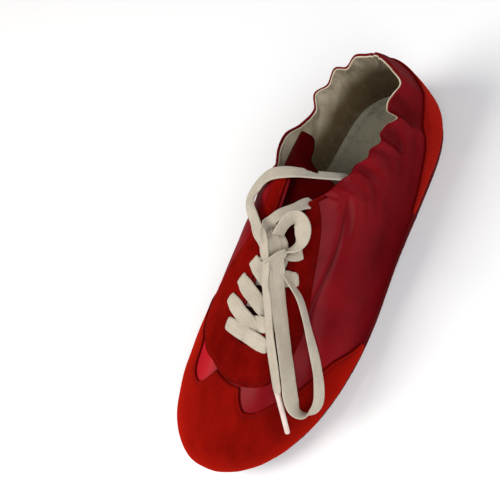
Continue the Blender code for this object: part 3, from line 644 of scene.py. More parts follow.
def smooth_leather_finish(name, dark, light, rough, shine):
    """Soft smooth leather: fine grain, faint veins, a low gloss where it faces up, painted shade where it
    faces down and in creases, a painted highlight on the medial vamp, and darker at cut edges."""
    f = Finish(name, coat_roughness=0.30, specular_ior_level=shine, specular_tint=(1.0, 0.08, 0.10, 1))
    cloud = f.noise(30.0, 4.0, 0.55, twist=0.4)
    grain = f.cells(1500.0)
    pores = f.noise(2400.0, 2.0, 0.6)
    veins = f.noise(260.0, 5.0, 0.65, twist=1.2)
    colour = f.mix(cloud.between(0.25, 0.75), dark, light)
    # painted highlight: lighter on the medial vamp and its window
    colour = f.mix(f.attribute("pale") * 0.8, colour, shade(2.2, light))
    # painted shade in creases and troughs, and a dark line along the quarter seams
    colour = f.mix(f.attribute("crease").clamped() * 0.55, colour, shade(0.35, dark))
    gloss = f.attribute("gloss")
    # painted shade where the leather faces down and on its inner side; the coat goes only where it faces up
    colour = f.mix((1 - gloss) * 0.60, colour, shade(0.25, dark))
    colour = f.mix(f.attribute("edge") * 0.8, colour, shade(0.15, dark))
    height = (grain * 3.0).clamped() * 0.5 + pores * 0.25 + veins * 1.3
    roughness = rough + 0.14 * veins + 0.06 * cloud
    return f.wear(colour, roughness, f.bump(height, 0.00010, 0.55), gloss * (0.07 + 0.06 * cloud))


def lining_finish(name, base, folds, deep, rough=0.62):
    """Lining leather: fine pores, cream at the edge and painted shade that turns it dark olive further down,
    and painted shade where it's creased.
    """
    f = Finish(name)
    cloud = f.noise(45.0, 4.0, 0.6, twist=0.5)
    pores = f.noise(1900.0, 3.0, 0.65)
    wrinkle = f.noise(330.0, 4.0, 0.6, twist=1.5)
    streak = f.noise(210.0, 4.0, 0.6, f.coordinates(stretch=(1.0, 1.0, 0.45), turn=(0.5, 0.0, 0.0)), 1.0)
    colour = f.mix(cloud.between(0.35, 0.70), base, folds)
    # painted shade deep inside the shoe
    colour = f.mix(f.attribute("deep").clamped(), colour, deep)
    colour = f.mix(streak.between(0.50, 0.66) * 0.35, colour, shade(0.4, folds))
    # painted shade where the lining is creased
    colour = f.mix(f.attribute("crease").clamped() * 0.6, colour, shade(0.55, folds))
    return f.wear(colour, rough + 0.12 * cloud, f.bump(pores * 0.4 + wrinkle * 1.3, 0.00014, 0.6))


LACE_WALE, LACE_COURSE = 0.92, 0.80  # mm from cord to cord, across and along the tape


def lace_finish():
    """Flat woven cotton: cords along the tape, a fine cross weave with painted shade between the cords, and
    stray fibres. UV is in mm.
    """
    f = Finish("cream_cotton_lace", sheen_weight=0.25, sheen_roughness=0.5, sheen_tint=(1.0, 0.95, 0.86, 1))
    place = f.coordinates("UV")
    across, ahead = (f.node("ShaderNodeSeparateXYZ", {}, {0: place}, way) for way in "XY")
    wale = (across * (2 * np.pi / LACE_WALE)).sine()
    course = (ahead * (2 * np.pi / LACE_COURSE) + wale * 1.1).sine()
    weave = wale * 0.5 + course * 0.35
    fuzz = f.noise(1800.0, 3.0, 0.7)
    cloud = f.noise(90.0, 3.0, 0.55)
    colour = f.mix(cloud.between(0.3, 0.7), (0.485, 0.423, 0.329), (0.585, 0.517, 0.410))
    # painted shade in the hollows between the cords
    colour = f.mix((0.45 - weave * 0.6).clamped() * 0.55, colour, (0.250, 0.200, 0.140))
    return f.wear(colour, 0.86 + 0.10 * fuzz, f.bump(weave * 0.9 + fuzz * 0.8, 0.00016, 0.8))


def aglet_finish():
    """Cream tape wrapped round the lace's end and set hard: faint turns, a little gloss."""
    f = Finish("wrapped_lace_tip")
    turns = f.noise(700.0, 2.0, 0.5, f.coordinates("UV", (0.4, 1.6, 1.0)))
    cloud = f.noise(220.0, 3.0, 0.5)
    colour = f.mix(cloud.between(0.3, 0.7), (0.640, 0.500, 0.440), (0.720, 0.600, 0.530))
    return f.wear(colour, 0.42 + 0.12 * turns, f.bump(turns, 0.00008, 0.6), 0.25 + 0.1 * cloud)


def rubber_finish():
    """Matt oxblood rubber, scuffed lighter where it meets the ground."""
    f = Finish("oxblood_rubber", specular_ior_level=0.15, specular_tint=(1.0, 0.3, 0.3, 1))
    cloud = f.noise(60.0, 4.0, 0.6)
    speck = f.noise(1400.0, 3.0, 0.7)
    scuff = f.noise(240.0, 5.0, 0.7, f.coordinates(stretch=(1.0, 0.25, 1.0)))
    colour = f.mix(cloud.between(0.3, 0.7), (0.065, 0.0025, 0.0030), (0.095, 0.0040, 0.0045))
    worn = scuff.between(0.55, 0.75) * f.attribute("tread").between(0.35, 0.95)
    colour = f.mix(worn * 0.6, colour, (0.150, 0.0600, 0.0520))
    return f.wear(colour, 0.55 + 0.25 * scuff, f.bump(speck * 0.6 + scuff * 0.6, 0.00012, 0.6))


def thread_finish():
    """Waxed red sewing thread with a fine twist."""
    f = Finish("red_thread", specular_ior_level=0.1)
    twist = f.noise(2400.0, 2.0, 0.5)
    colour = f.mix(twist, (0.050, 0.0010, 0.0010), (0.085, 0.0018, 0.0018))
    return f.wear(colour, 0.50 + 0.20 * twist, f.bump(twist, 0.00008, 0.6))


def floor_finish():
    """Pale matt paper."""
    f = Finish("pale_floor", specular_ior_level=0.15)
    cloud = f.noise(3.0, 2.0, 0.5)
    colour = f.mix(cloud, (0.880, 0.877, 0.872), (0.900, 0.897, 0.892))
    return f.wear(colour, 0.92 + 0.05 * cloud)


# The second colour of each suede is its painted sheen, where the surface turns away from view.
GUARD_SUEDE = suede_finish("tomato_suede", (0.070, 0.0013, 0.0011), (0.440, 0.0090, 0.0040))
STAY_SUEDE = suede_finish("deep_red_suede", (0.064, 0.0011, 0.0010), (0.180, 0.0027, 0.0018))
COUNTER_SUEDE = suede_finish("brick_red_suede", (0.110, 0.0022, 0.0018), (0.350, 0.0130, 0.0090))
LEATHER = smooth_leather_finish(
    "crimson_leather", (0.132, 0.0026, 0.0052), (0.205, 0.0042, 0.0078), 0.36, 0.0
)
# The tongue's dark red leather, darkened further as painted shade for where it lies under the laces.
TONGUE_LEATHER = smooth_leather_finish(
    "dark_red_leather_painted_shade", (0.052, 0.0006, 0.0008), (0.072, 0.0009, 0.0012), 0.72, 0.03
)
# The third colour of each is painted shade deep inside the shoe.
LINING = lining_finish(
    "cream_lining", (0.620, 0.530, 0.385), (0.450, 0.370, 0.245), (0.105, 0.070, 0.029)
)
FOOTBED = lining_finish(
    "cream_footbed", (0.300, 0.280, 0.200), (0.250, 0.230, 0.160), (0.105, 0.070, 0.032), 0.68
)
LACE = lace_finish()
LACE_TIP = aglet_finish()
RUBBER = rubber_finish()
THREAD = thread_finish()
PALE_FLOOR = floor_finish()

# ---------------------------------------------------------------- camera, light and floor

CAMERA_AT = (206.54, 115.93, 349.14)  # in mm on the last
CAMERA_TO = (-37.91, 128.41, 30.0)
CAMERA_ROLL = -1.05668
CAMERA_LENS, CAMERA_SENSOR = 46.42, 36.0
SKY_COLOUR, SKY_STRENGTH = (0.93, 0.95, 1.0, 1), 0.22
LAMPS = [  # name, place and the place it faces in the frame's metres, size, power, colour
    ("key", (-0.66, -0.60, 1.00), (0.0, 0.0, 0.03), 0.8, 15.5, (1.0, 0.98, 0.95)),
    ("fill", (0.85, -0.2, 0.95), (0.0, 0.0, 0.03), 1.0, 12.5, (0.97, 0.98, 1.0)),
    ("window", (1.1, 0.55, 0.35), (0.02, 0.03, 0.05), 0.4, 1.5, (0.80, 0.86, 1.0)),
]
LAMP_BACK = (0.01, 1, 0)  # two sides of each lamp lie square to this direction
FLOOR_RADIUS, FLOOR_HOLE, FLOOR_CROWD = 3000.0, 0.004, 1.5
FLOOR_RINGS, FLOOR_AROUND = 30, 96

scene = bpy.context.scene


def set_up(name, data, at, side, up, back):
    """A camera or lamp at a place, its X, Y and Z axes along three directions."""
    made = bpy.data.objects.new(name, data)
    scene.collection.objects.link(made)
    axes = np.eye(4)
    axes[:3] = np.stack([side, up, back, at], -1)
    made.matrix_world = Matrix(axes.tolist())
    return made


def place_camera():
    """Camera looking along one line, rolled about it from level."""
    at, to = to_frame(CAMERA_AT), to_frame(CAMERA_TO)
    line = unit(to - at)
    level = unit(np.cross(line, (0, 0, 1)))
    up = np.cross(level, line)
    c, s = np.cos(CAMERA_ROLL), np.sin(CAMERA_ROLL)
    data = bpy.data.cameras.new("camera")
    data.lens, data.sensor_width = CAMERA_LENS, CAMERA_SENSOR
    data.clip_start, data.clip_end = 0.01, 50.0
    scene.camera = set_up("camera", data, at, c * level + s * up, c * up - s * level, -line)


def light_studio():
    """Even sky and three soft square lamps, each facing a place near the shoe's middle."""
    scene.view_settings.view_transform = "Standard"
    world = bpy.data.worlds.new("studio")
    world.use_nodes = True
    sky = world.node_tree.nodes["Background"].inputs
    sky["Color"].default_value, sky["Strength"].default_value = SKY_COLOUR, SKY_STRENGTH
    scene.world = world
    for name, at, to, size, power, colour in LAMPS:
        line = unit(np.subtract(to, at))
        side = unit(np.cross(line, LAMP_BACK))
        data = bpy.data.lights.new(name, "AREA")
        data.shape, data.size, data.energy, data.color = "SQUARE", size, power, colour
        set_up(name, data, at, side, np.cross(side, line), -line)


def make_floor():
    """Flat round floor: rings about the middle, closer together near the shoe, and a strip over the hole."""
    radius = FLOOR_RADIUS * np.linspace(FLOOR_HOLE, 1, FLOOR_RINGS)[:, None] ** FLOOR_CROWD
    turn = np.linspace(0, 2 * np.pi, FLOOR_AROUND, endpoint=False)
    x, s = radius * np.cos(turn), LENGTH / 2 + radius * np.sin(turn)
    points = np.stack([x, s, 0 * x], -1).reshape(-1, 3)
    rings = grid_quads(FLOOR_RINGS, FLOOR_AROUND, wrap_columns=True)[0]
    quads = np.concatenate([rings, strip_over(FLOOR_AROUND)])
    corner = points[quads]
    facing = np.cross(corner[:, 1] - corner[:, 0], corner[:, 3] - corner[:, 0])[:, 2]
    quads = np.where(facing[:, None] < 0, quads[:, ::-1], quads)
    mesh = bpy.data.meshes.new("floor")
    mesh.from_pydata(to_frame(points).tolist(), [], quads.tolist())
    mesh.materials.append(PALE_FLOOR)
    floor = bpy.data.objects.new("floor", mesh)
    scene.collection.objects.link(floor)


place_camera()
light_studio()
make_floor()

# ---------------------------------------------------------------- lace

LACE_WIDTH, LACE_THICK = 9.2, 1.5
LACE_STEP = 1.1
LACE_AROUND = 44
LACE_RIBS, LACE_RIB_HIGH = 5, 0.11
WIDE_SQUARE, HIGH_SQUARE = 2.6, 3.2  # powers of the tape's superellipse
THIN_AT, THIN_POWER = 3.4, 0.55  # narrower tape is bunched, so it is thicker
SLACK = [(0.30, 11.0), (0.12, 4.3), (0.012, 2.1)]  # how far it cups, twists and frays, and over what length

# Each free run of the lace. Columns: x, s, z, the direction its flat side faces (x, s, z), and its width.
LACE_LOOP = np.array([  # from under the lateral eyestay through the knot, down the long loop and back
    (17.9, 164.7, 59.5, 0.57, 0.47, 0.67, 7.4),
    (15.4, 163.9, 62.1, 0.62, 0.58, 0.53, 7.4),
    (12.6, 163.9, 66.4, 0.51, 0.70, 0.50, 7.4),
    (11.3, 161.4, 69.8, 0.08, 0.68, 0.73, 9.2),
    (9.9, 158.4, 72.5, -0.09, 0.62, 0.78, 9.2),
    (7.4, 155.1, 74.3, -0.20, 0.51, 0.84, 9.2),
    (4.4, 151.4, 75.4, -0.32, 0.29, 0.90, 9.2),
    (0.7, 146.7, 74.6, -0.36, 0.06, 0.93, 9.2),
    (0.7, 141.5, 74.7, 0.82, 0.55, 0.19, 9.2),
    (6.6, 136.4, 78.5, 0.16, 0.44, 0.88, 9.2),
    (10.0, 133.6, 77.0, 0.61, -0.03, 0.79, 8.7),
    (11.9, 129.6, 73.5, 0.64, -0.01, 0.77, 8.3),
    (13.1, 125.3, 69.9, 0.61, -0.03, 0.79, 8.7),
    (14.7, 114.2, 62.0, 0.80, -0.14, 0.59, 9.2),
    (19.0, 105.0, 57.0, 0.86, 0.14, 0.49, 9.2),
    (23.0, 96.3, 52.3, 0.88, 0.24, 0.40, 9.2),
    (32.2, 78.4, 44.0, 0.89, 0.24, 0.39, 9.2),
    (38.5, 64.8, 36.5, 0.87, 0.14, 0.47, 9.2),
    (42.2, 60.1, 31.0, 0.33, 0.81, 0.48, 9.2),
    (45.7, 60.7, 27.0, -0.47, 0.84, 0.27, 9.2),
    (48.4, 64.7, 26.0, -0.97, 0.24, -0.04, 9.2),
    (48.6, 72.4, 28.0, -0.99, -0.14, -0.08, 9.2),
    (44.6, 86.0, 37.0, -0.92, -0.38, -0.05, 9.2),
    (36.0, 100.9, 46.5, -0.84, -0.54, 0.06, 9.2),
    (26.8, 115.3, 55.8, -0.77, -0.62, 0.12, 9.2),
    (17.3, 122.0, 61.2, -0.65, -0.76, 0.04, 9.2),
    (9.8, 126.8, 63.0, -0.52, -0.85, -0.04, 8.6),
    (3.7, 131.2, 64.0, -0.48, -0.87, -0.08, 8.0),
])
LACE_TAIL = np.array([  # from inside the lateral collar over to the medial side, through the knot, to the tip
    (21.4, 184.2, 50.4, 0.67, 0.73, 0.15, 9.2),
    (19.6, 185.3, 55.2, 0.41, 0.85, 0.34, 9.2),
    (16.9, 182.9, 62.5, 0.11, 0.84, 0.53, 9.2),
    (10.6, 178.5, 70.4, 0.05, 0.77, 0.63, 9.2),
    (1.2, 175.5, 73.8, -0.02, 0.60, 0.80, 9.2),
    (-9.0, 172.1, 74.7, -0.21, 0.36, 0.91, 9.2),
    (-18.0, 168.5, 72.0, -0.44, 0.01, 0.90, 9.2),
    (-25.0, 163.1, 67.1, -0.41, -0.12, 0.90, 9.2),
    (-26.8, 155.4, 66.3, -0.43, 0.00, 0.90, 9.2),
    (-22.2, 148.8, 68.4, -0.49, -0.22, 0.84, 9.2),
    (-14.4, 143.5, 70.5, -0.46, -0.33, 0.82, 9.2),
    (-6.8, 138.5, 73.1, -0.49, -0.21, 0.84, 9.2),
    (4.1, 134.4, 79.0, -0.45, -0.27, 0.85, 9.2),
    (7.5, 128.9, 77.6, -0.34, -0.51, 0.79, 8.7),
    (9.9, 123.2, 74.2, -0.44, -0.61, 0.67, 8.3),
    (8.0, 115.3, 65.6, -0.45, -0.58, 0.68, 9.2),
    (12.0, 107.0, 61.6, -0.42, -0.53, 0.74, 9.2),
    (19.7, 88.5, 53.0, -0.35, -0.53, 0.77, 9.2),
    (26.5, 75.0, 46.3, -0.30, -0.54, 0.79, 9.2),
    (30.6, 67.2, 42.6, -0.30, -0.54, 0.78, 8.0),
    (32.1, 64.2, 41.0, -0.32, -0.56, 0.76, 4.2),
])
LACE_CURL = np.array([  # from behind the knot across its front, then round in a curl to its cut end
    (5.1, 124.3, 70.4, -0.05, -0.97, 0.26, 8.0),
    (10.0, 122.9, 73.5, 0.33, -0.88, 0.34, 8.2),
    (13.2, 126.2, 75.6, 0.80, -0.59, 0.08, 8.6),
    (15.6, 130.8, 75.2, 0.91, -0.42, -0.05, 9.0),
    (16.8, 134.3, 73.1, 0.73, -0.54, -0.43, 9.2),
    (21.5, 139.1, 73.7, 0.25, -0.35, -0.90, 9.2),
    (23.1, 144.2, 75.8, -0.06, 0.08, -1.00, 9.2),
    (21.9, 149.0, 78.0, -0.27, 0.42, -0.87, 9.2),
    (17.7, 151.7, 79.2, -0.54, 0.61, -0.58, 9.2),
    (14.4, 149.7, 80.3, -0.84, 0.50, -0.23, 9.2),
    (12.4, 144.9, 80.1, -0.96, 0.27, -0.03, 9.2),
    (11.6, 139.6, 79.3, -0.97, 0.24, 0.00, 9.2),
])
AGLET_TIP = np.array((41.8, 46.9, 28.5))
AGLET_RADIUS, AGLET_WIDE, AGLET_HIGH = 1.5, 1.12, 0.94
AGLET_BACK, AGLET_ROUND, AGLET_AROUND = 1.2, 1.0, 28
WRAP_PROUD, WRAP_TURNS = 0.03, 4.5  # height of the tip's wrapping in mm, and its radians to the mm
KNOT_MIDDLE = np.array((7.8, 134.2, 72.6))
KNOT_LONG, KNOT_WIDE, KNOT_THICK = 8.8, 7.2, 5.0
KNOT_ACROSS, KNOT_ALONG = (0.75, 0.62, -0.20), (-0.35, 0.80, 0.45)
KNOT_ROWS, KNOT_AROUND, KNOT_POLE = 40, 72, 0.03
KNOT_PLEAT, KNOT_FOLD = 0.07, 0.03  # heights of the coarse and the fine pleats, as shares of the radius
KNOT_CELL = (0.55, 0.45)  # mm of tape to a column and to a row
# Lacing rows from the toe: where the lace folds into an eyelet. Columns: s and distance from the spine on the
# medial side, then the same on the lateral side.
ROWS = np.array([
    (85.0, 14.8, 84.0, 15.5),
    (99.0, 18.6, 96.5, 14.5),
    (112.0, 16.3, 109.0, 15.0),
    (124.1, 12.6, 124.5, 16.0),
    (137.0, 12.5, 138.0, 13.0),
])
FOLD_ROUND, FOLD_DEPTH = 1.3, 3.4
FOLD_STEPS, FOLD_WIDTHS = (0, 4, 9), (4.6, 6.4, 8.2)
FOLD_PINCH = 2.2
BAR_STEP = 0.8
# Lift of a bar's middle over the form, by its distance past the spine: the bars that end on the medial flap
# lie over those that end on the lateral flap, and each one's other end dives under the opposite flap.
UPPER_DIVE = np.array([
    (-12, 2.6), (-8, 2.6), (-4, 2.0), (0, 1.35), (4, 0.5), (7, -1.6), (9, -2.95), (13, -3.05),
])
LOWER_DIVE = np.array([
    (-12, 2.6), (-9.5, 2.6), (-6.5, 1.0), (-4, -0.5), (0, -1.3), (4, -2.2), (8, -3.0), (12, -3.05),
])
FLAT_RUN = np.array([(-30, 2.6), (-14, 2.6), (0, 2.35), (14, 2.6), (30, 2.6)])
BAR_UNDER = 12.0  # how far past the spine a bar runs on under the flap
UPPER_ROLL, LAST_ROLL = -0.22, 0.9


def smooth_route(rows, step):
    """Even steps along a Catmull-Rom curve through a table's rows, whose first three columns are the place.
    Gives the distances and the table there."""
    ends = np.concatenate([[2 * rows[0] - rows[1]], rows, [2 * rows[-1] - rows[-2]]])
    u = np.linspace(0, 1, 24, endpoint=False)[:, None]
    a, b, c, d = (ends[k : len(ends) - 3 + k, None] for k in range(4))
    bend, twist = 2 * a - 5 * b + 4 * c - d, 3 * b - a - 3 * c + d
    fine = 0.5 * (2 * b + (c - a) * u + bend * u**2 + twist * u**3)
    fine = np.concatenate([fine.reshape(-1, rows.shape[1]), rows[-1:]])
    gone = distance_along(fine[:, :3])
    at = np.linspace(0, gone[-1], int(round(gone[-1] / step)) + 1)
    return at, read_at(at, gone, fine)


def softened(values, passes):
    """Running average along the first axis, with the ends kept."""
    for _ in range(passes):
        inner = 0.25 * values[:-2] + 0.5 * values[1:-1] + 0.25 * values[2:]
        values = np.concatenate([values[:1], inner, values[-1:]])
    return values


def tape(name, middle, facing, width, seed):
    """Flat woven tape: a ribbed superellipse profile carried along a route of points, turned to face as told.
    Its middle rises and falls a little across and along, as slack cotton does. Ends are closed by quads."""
    at = distance_along(middle)
    run = unit(np.gradient(middle, axis=0))
    side = unit(np.cross(run, unit(facing)))
    face = np.cross(side, run)
    turn = np.linspace(0, 2 * np.pi, LACE_AROUND, endpoint=False) + np.pi / LACE_AROUND
    c, s = np.cos(turn), np.sin(turn)
    wide = np.sign(c) * np.abs(c) ** (2 / WIDE_SQUARE)
    high = np.sign(s) * np.abs(s) ** (2 / HIGH_SQUARE)
    rib = LACE_RIB_HIGH * np.cos(np.pi * LACE_RIBS * wide) * np.sign(s) * (1 - np.abs(wide) ** 6)
    half = width[:, None] / 2
    thick = (LACE_THICK / 2) * (LACE_WIDTH / np.maximum(width, THIN_AT))[:, None] ** THIN_POWER
    cup, twist, fray = (
        size * np.sin(at / reach + (k + 1) * seed)[:, None] for k, (size, reach) in enumerate(SLACK)
    )
    cup = cup * (1 - wide**2) + twist * wide
    edge = half * wide * (1 + fray)
    out = thick * high + rib + cup
    points = middle[:, None] + side[:, None] * edge[..., None] + face[:, None] * out[..., None]
    profile = np.stack([wide * LACE_WIDTH / 2, high * LACE_THICK / 2], -1)
    around = distance_along(np.concatenate([profile, profile[:1]]))
    quads, rows_at, columns_at = tube_quads(len(at), LACE_AROUND)
    uv = np.stack([around[columns_at], at[rows_at]], -1)
    return make_piece(name, points.reshape(-1, 3), quads, LACE, uv)


def knot_core():
    """Gathered lump behind the bands: an ellipsoid pleated round its long way, radius by two angles."""
    up = np.linspace(KNOT_POLE, np.pi - KNOT_POLE, KNOT_ROWS)[:, None]
    turn = np.linspace(0, 2 * np.pi, KNOT_AROUND, endpoint=False)
    pleat = 1 + KNOT_PLEAT * np.cos(5 * turn + 1.5 * np.cos(up)) * np.sin(up)
    pleat = pleat + KNOT_FOLD * np.cos(11 * turn - 2 * up)
    ball = np.stack([np.cos(up) + 0 * turn, np.sin(up) * np.cos(turn), np.sin(up) * np.sin(turn)], -1)
    across = unit(KNOT_ACROSS)
    out = unit(np.cross(across, unit(KNOT_ALONG)))
    axes = np.stack([np.cross(out, across) * KNOT_LONG, across * KNOT_WIDE, out * KNOT_THICK])
    points = KNOT_MIDDLE + (ball * pleat[..., None]) @ axes
    quads, rows_at, columns_at = tube_quads(KNOT_ROWS, KNOT_AROUND)
    uv = np.stack([columns_at * KNOT_CELL[0], rows_at * KNOT_CELL[1]], -1)
    piece = make_piece("knot", points.reshape(-1, 3), quads, LACE, uv)
    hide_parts("lace_knot")
    return piece


def make_aglet():
    """Wrapped tip: rings carried along a straight line, their radius falling a little to a rounded end."""
    start = LACE_TAIL[-1, :3]
    run = unit(AGLET_TIP - start)
    side = unit(np.cross(run, LACE_TAIL[-1, 3:6]))
    up = np.cross(side, run)
    long = np.linalg.norm(AGLET_TIP - start)
    tip = long - np.array([0.7, 0.4, 0.15, 0.02, 0.0])
    t = np.concatenate([[-AGLET_BACK, -1.0, -0.6], np.linspace(0, long - AGLET_ROUND, 40), tip])
    places = [-AGLET_BACK, -0.9, 0.0, long * 0.5, long - AGLET_ROUND, long - 0.4, long - 0.05, long]
    radius = AGLET_RADIUS * np.interp(t, places, [0.80, 1.06, 1.10, 1.02, 0.98, 0.86, 0.5, 0.16])
    radius = radius + WRAP_PROUD * np.sin(t * WRAP_TURNS)
    turn = np.linspace(0, 2 * np.pi, AGLET_AROUND, endpoint=False)
    ring = np.cos(turn)[:, None] * side * AGLET_WIDE + np.sin(turn)[:, None] * up * AGLET_HIGH
    points = start + t[:, None, None] * run + radius[:, None, None] * ring
    quads, rows_at, columns_at = tube_quads(len(t), AGLET_AROUND)
    uv = np.stack([columns_at * 0.34, t[rows_at]], -1)
    piece = make_piece("lace_tip", points.reshape(-1, 3), quads, LACE_TIP, uv)
    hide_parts("aglet")
    return piece


def make_free_laces():
    """The three free runs, each built as a tape along its own route, and the knot and tip that go with them.
    """
    knot, tip = knot_core(), make_aglet()
    runs = [
        ("long_loop", LACE_LOOP, ("strand_lateral", "bow_loop"), "knot", [knot], 0.3),
        ("lace_tail", LACE_TAIL, ("strand_medial", "lace_end"), "fitting", [tip], 1.9),
        ("curled_end", LACE_CURL, ("curl",), "bare", [], 4.1),
    ]
    for name, rows, nodes, far_end, with_pieces, seed in runs:
        at, fine = smooth_route(rows, LACE_STEP)
        piece = tape(name, fine[:, :3], softened(fine[:, 3:6], 4), fine[:, 6], seed)
        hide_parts(*nodes)


def surface_height(x, s):
    """Height of the last over plan points: the rib that passes nearest gives its height there."""
    ribs = Ribs(np.linspace(0, 1, RIB_COUNT, endpoint=False))
    x, s = np.asarray(x, float), np.asarray(s, float)
    dx, ds = x.ravel()[:, None] - ribs.x, s.ravel()[:, None] - ribs.s
    forward = dx * ribs.inward_x + ds * ribs.inward_s
    off = np.abs(dx * ribs.inward_s - ds * ribs.inward_x)
    off = np.where((forward < 0) | (forward > ribs.length + 1), 1e6, off)
    best = off.argmin(1)
    share = np.clip(forward[np.arange(len(best)), best] / ribs.length[best], 0, 1)
    near = Ribs(ribs.turn[best])
    return near.points(np.arccos((1 - share) ** (near.plan / 2)))[:, 2].reshape(x.shape)


def form_normal(x, s):
    """Unit normal of the last over plan points."""
    step = 0.5
    slope_x = (surface_height(x + step, s) - surface_height(x - step, s)) / (2 * step)
    slope_s = (surface_height(x, s + step) - surface_height(x, s - step)) / (2 * step)
    return unit(np.stack([-slope_x, -slope_s, np.ones_like(slope_x)], -1))


def folded_bar(name, start, stop, lifts, mirror, seed, both_folded=False, roll=0.0):
    """One bar of the lacing: up out of an eyelet round a quarter circle, over the form between two plan
    points with the lift that the table gives for its distance from the spine, and under a flap or into an
    eyelet."""
    way = stop - start
    long = np.hypot(*way)
    phi = np.linspace(0, np.pi / 2, 7)[:-1]
    below = np.linspace(FOLD_DEPTH, FOLD_ROUND, 5)[:-1]
    reach = np.concatenate([0 * below, FOLD_ROUND * (1 - np.cos(phi))])
    drop = np.concatenate([below, FOLD_ROUND * (1 - np.sin(phi))])
    turned = np.concatenate([1 + 0 * below, 1 - np.sin(phi)])
    width = np.interp(np.arange(len(reach)), FOLD_STEPS, FOLD_WIDTHS)
    last = long - FOLD_ROUND if both_folded else long
    flat = np.linspace(FOLD_ROUND, last, int((last - FOLD_ROUND) / BAR_STEP))
    pinch = bell(flat - FOLD_ROUND, FOLD_PINCH) + both_folded * bell(last - flat, FOLD_PINCH)
    back = slice(None, None, -1) if both_folded else slice(0, 0)
    reach = np.concatenate([reach, flat, long - reach[back]])
    drop = np.concatenate([drop, 0 * flat, drop[back]])
    turned = np.concatenate([turned, 0 * flat, -turned[back]])
    width = np.concatenate([width, LACE_WIDTH - pinch, width[back]])
    x, s = (start[k] + way[k] * reach / long for k in (0, 1))
    normal = form_normal(x, s)
    lift = along(lifts, 1, mirror * (x - section("spine", s))) - drop
    middle = np.stack([x, s, surface_height(x, s)], -1) + normal * lift[:, None]
    ahead = np.append(way / long, 0)
    tilt = roll * smooth(reach, FOLD_ROUND, 7.0)[:, None]
    normal = normal * np.cos(tilt) + np.cross(ahead, normal) * np.sin(tilt)
    facing = unit(normal * (1.02 - np.abs(turned))[:, None] - ahead * turned[:, None])
    piece = tape(name, softened(middle, 1), facing, softened(width, 2), seed)
    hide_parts("lace_bars")


def make_lacing():
    """The bars across the throat: one straight bar at the toe end, then crossings. Each crossing's bars fold
    into the eyelets of the row behind and dive under the opposite flap towards the row in front."""
    spine = section("spine", ROWS[:, 0])
    medial = np.stack([spine - ROWS[:, 1], ROWS[:, 0]], -1)
    lateral = np.stack([section("spine", ROWS[:, 2]) + ROWS[:, 3], ROWS[:, 2]], -1)
    folded_bar("toe_bar", medial[0], lateral[0], FLAT_RUN, 1, seed=0.4, both_folded=True)
    for i in range(len(ROWS) - 1):
        for label, table, start, end, mirror, roll in (
            ("upper", UPPER_DIVE, medial[i + 1], lateral[i], 1, UPPER_ROLL),
            ("lower", LOWER_DIVE, lateral[i + 1], medial[i], -1, LAST_ROLL if i == len(ROWS) - 2 else 0.0),
        ):
            way = end - start
            past = mirror * (start[0] - section("spine", start[1]))
            stop = start + way * (BAR_UNDER - past) / abs(way[0])
            folded_bar(f"{label}_bar_{i + 1}", start, stop, table, mirror, seed=1.7 * i + mirror, roll=roll)


make_free_laces()
make_lacing()

# ---------------------------------------------------------------- upper and lining

AROUND = 760
RIM_STEPS = 7
CREASE_FULL = 1.6  # depth at which a crease's painted shade is as dark as it gets
SEAM_DARK, SEAM_DARK_HALF = 0.8, 0.9
SHELL_THICK = 1.4
LINING_IN, LINING_OUT = -2.3, -1.45
TOWARDS_EDGE = 0.85  # power that crowds the rows a little towards the edge
PAINTED_SHADE_BELOW = (7.0, 28.0)  # mm under the edge between which painted shade darkens the lining
PAINTED_HIGHLIGHT_S, PAINTED_HIGHLIGHT_BESIDE, PAINTED_HIGHLIGHT_Z = (96, 116), (10, 20), (30, 38)  # where a painted highlight lightens the medial vamp
FACING_UP = (-0.05, 0.50)
LINING_SHORT, LINING_NEARER = 0.052, 0.030  # angles left off the lining at its edge, and given back
LINING_MEETS = ((160, 175), (205, 232))


def crease_depth(turn, angle):
    """How deep the soft upper is creased at each point, 0 to 1, plus a dark line along the quarter seams; the
    finishes darken creases by it as painted shade.
    """
    ribs = Ribs(turn)
    points = ribs.points(angle)
    lift = relief(ribs, angle, points)
    s, z = points[..., 1], points[..., 2]
    seam = bell(z - np.interp(s, *QUARTER_SEAM.T), SEAM_DARK_HALF) * plateau(s, *SEAM_DARK_RUN)
    return np.clip(-lift / CREASE_FULL + SEAM_DARK * seam, 0, 1)


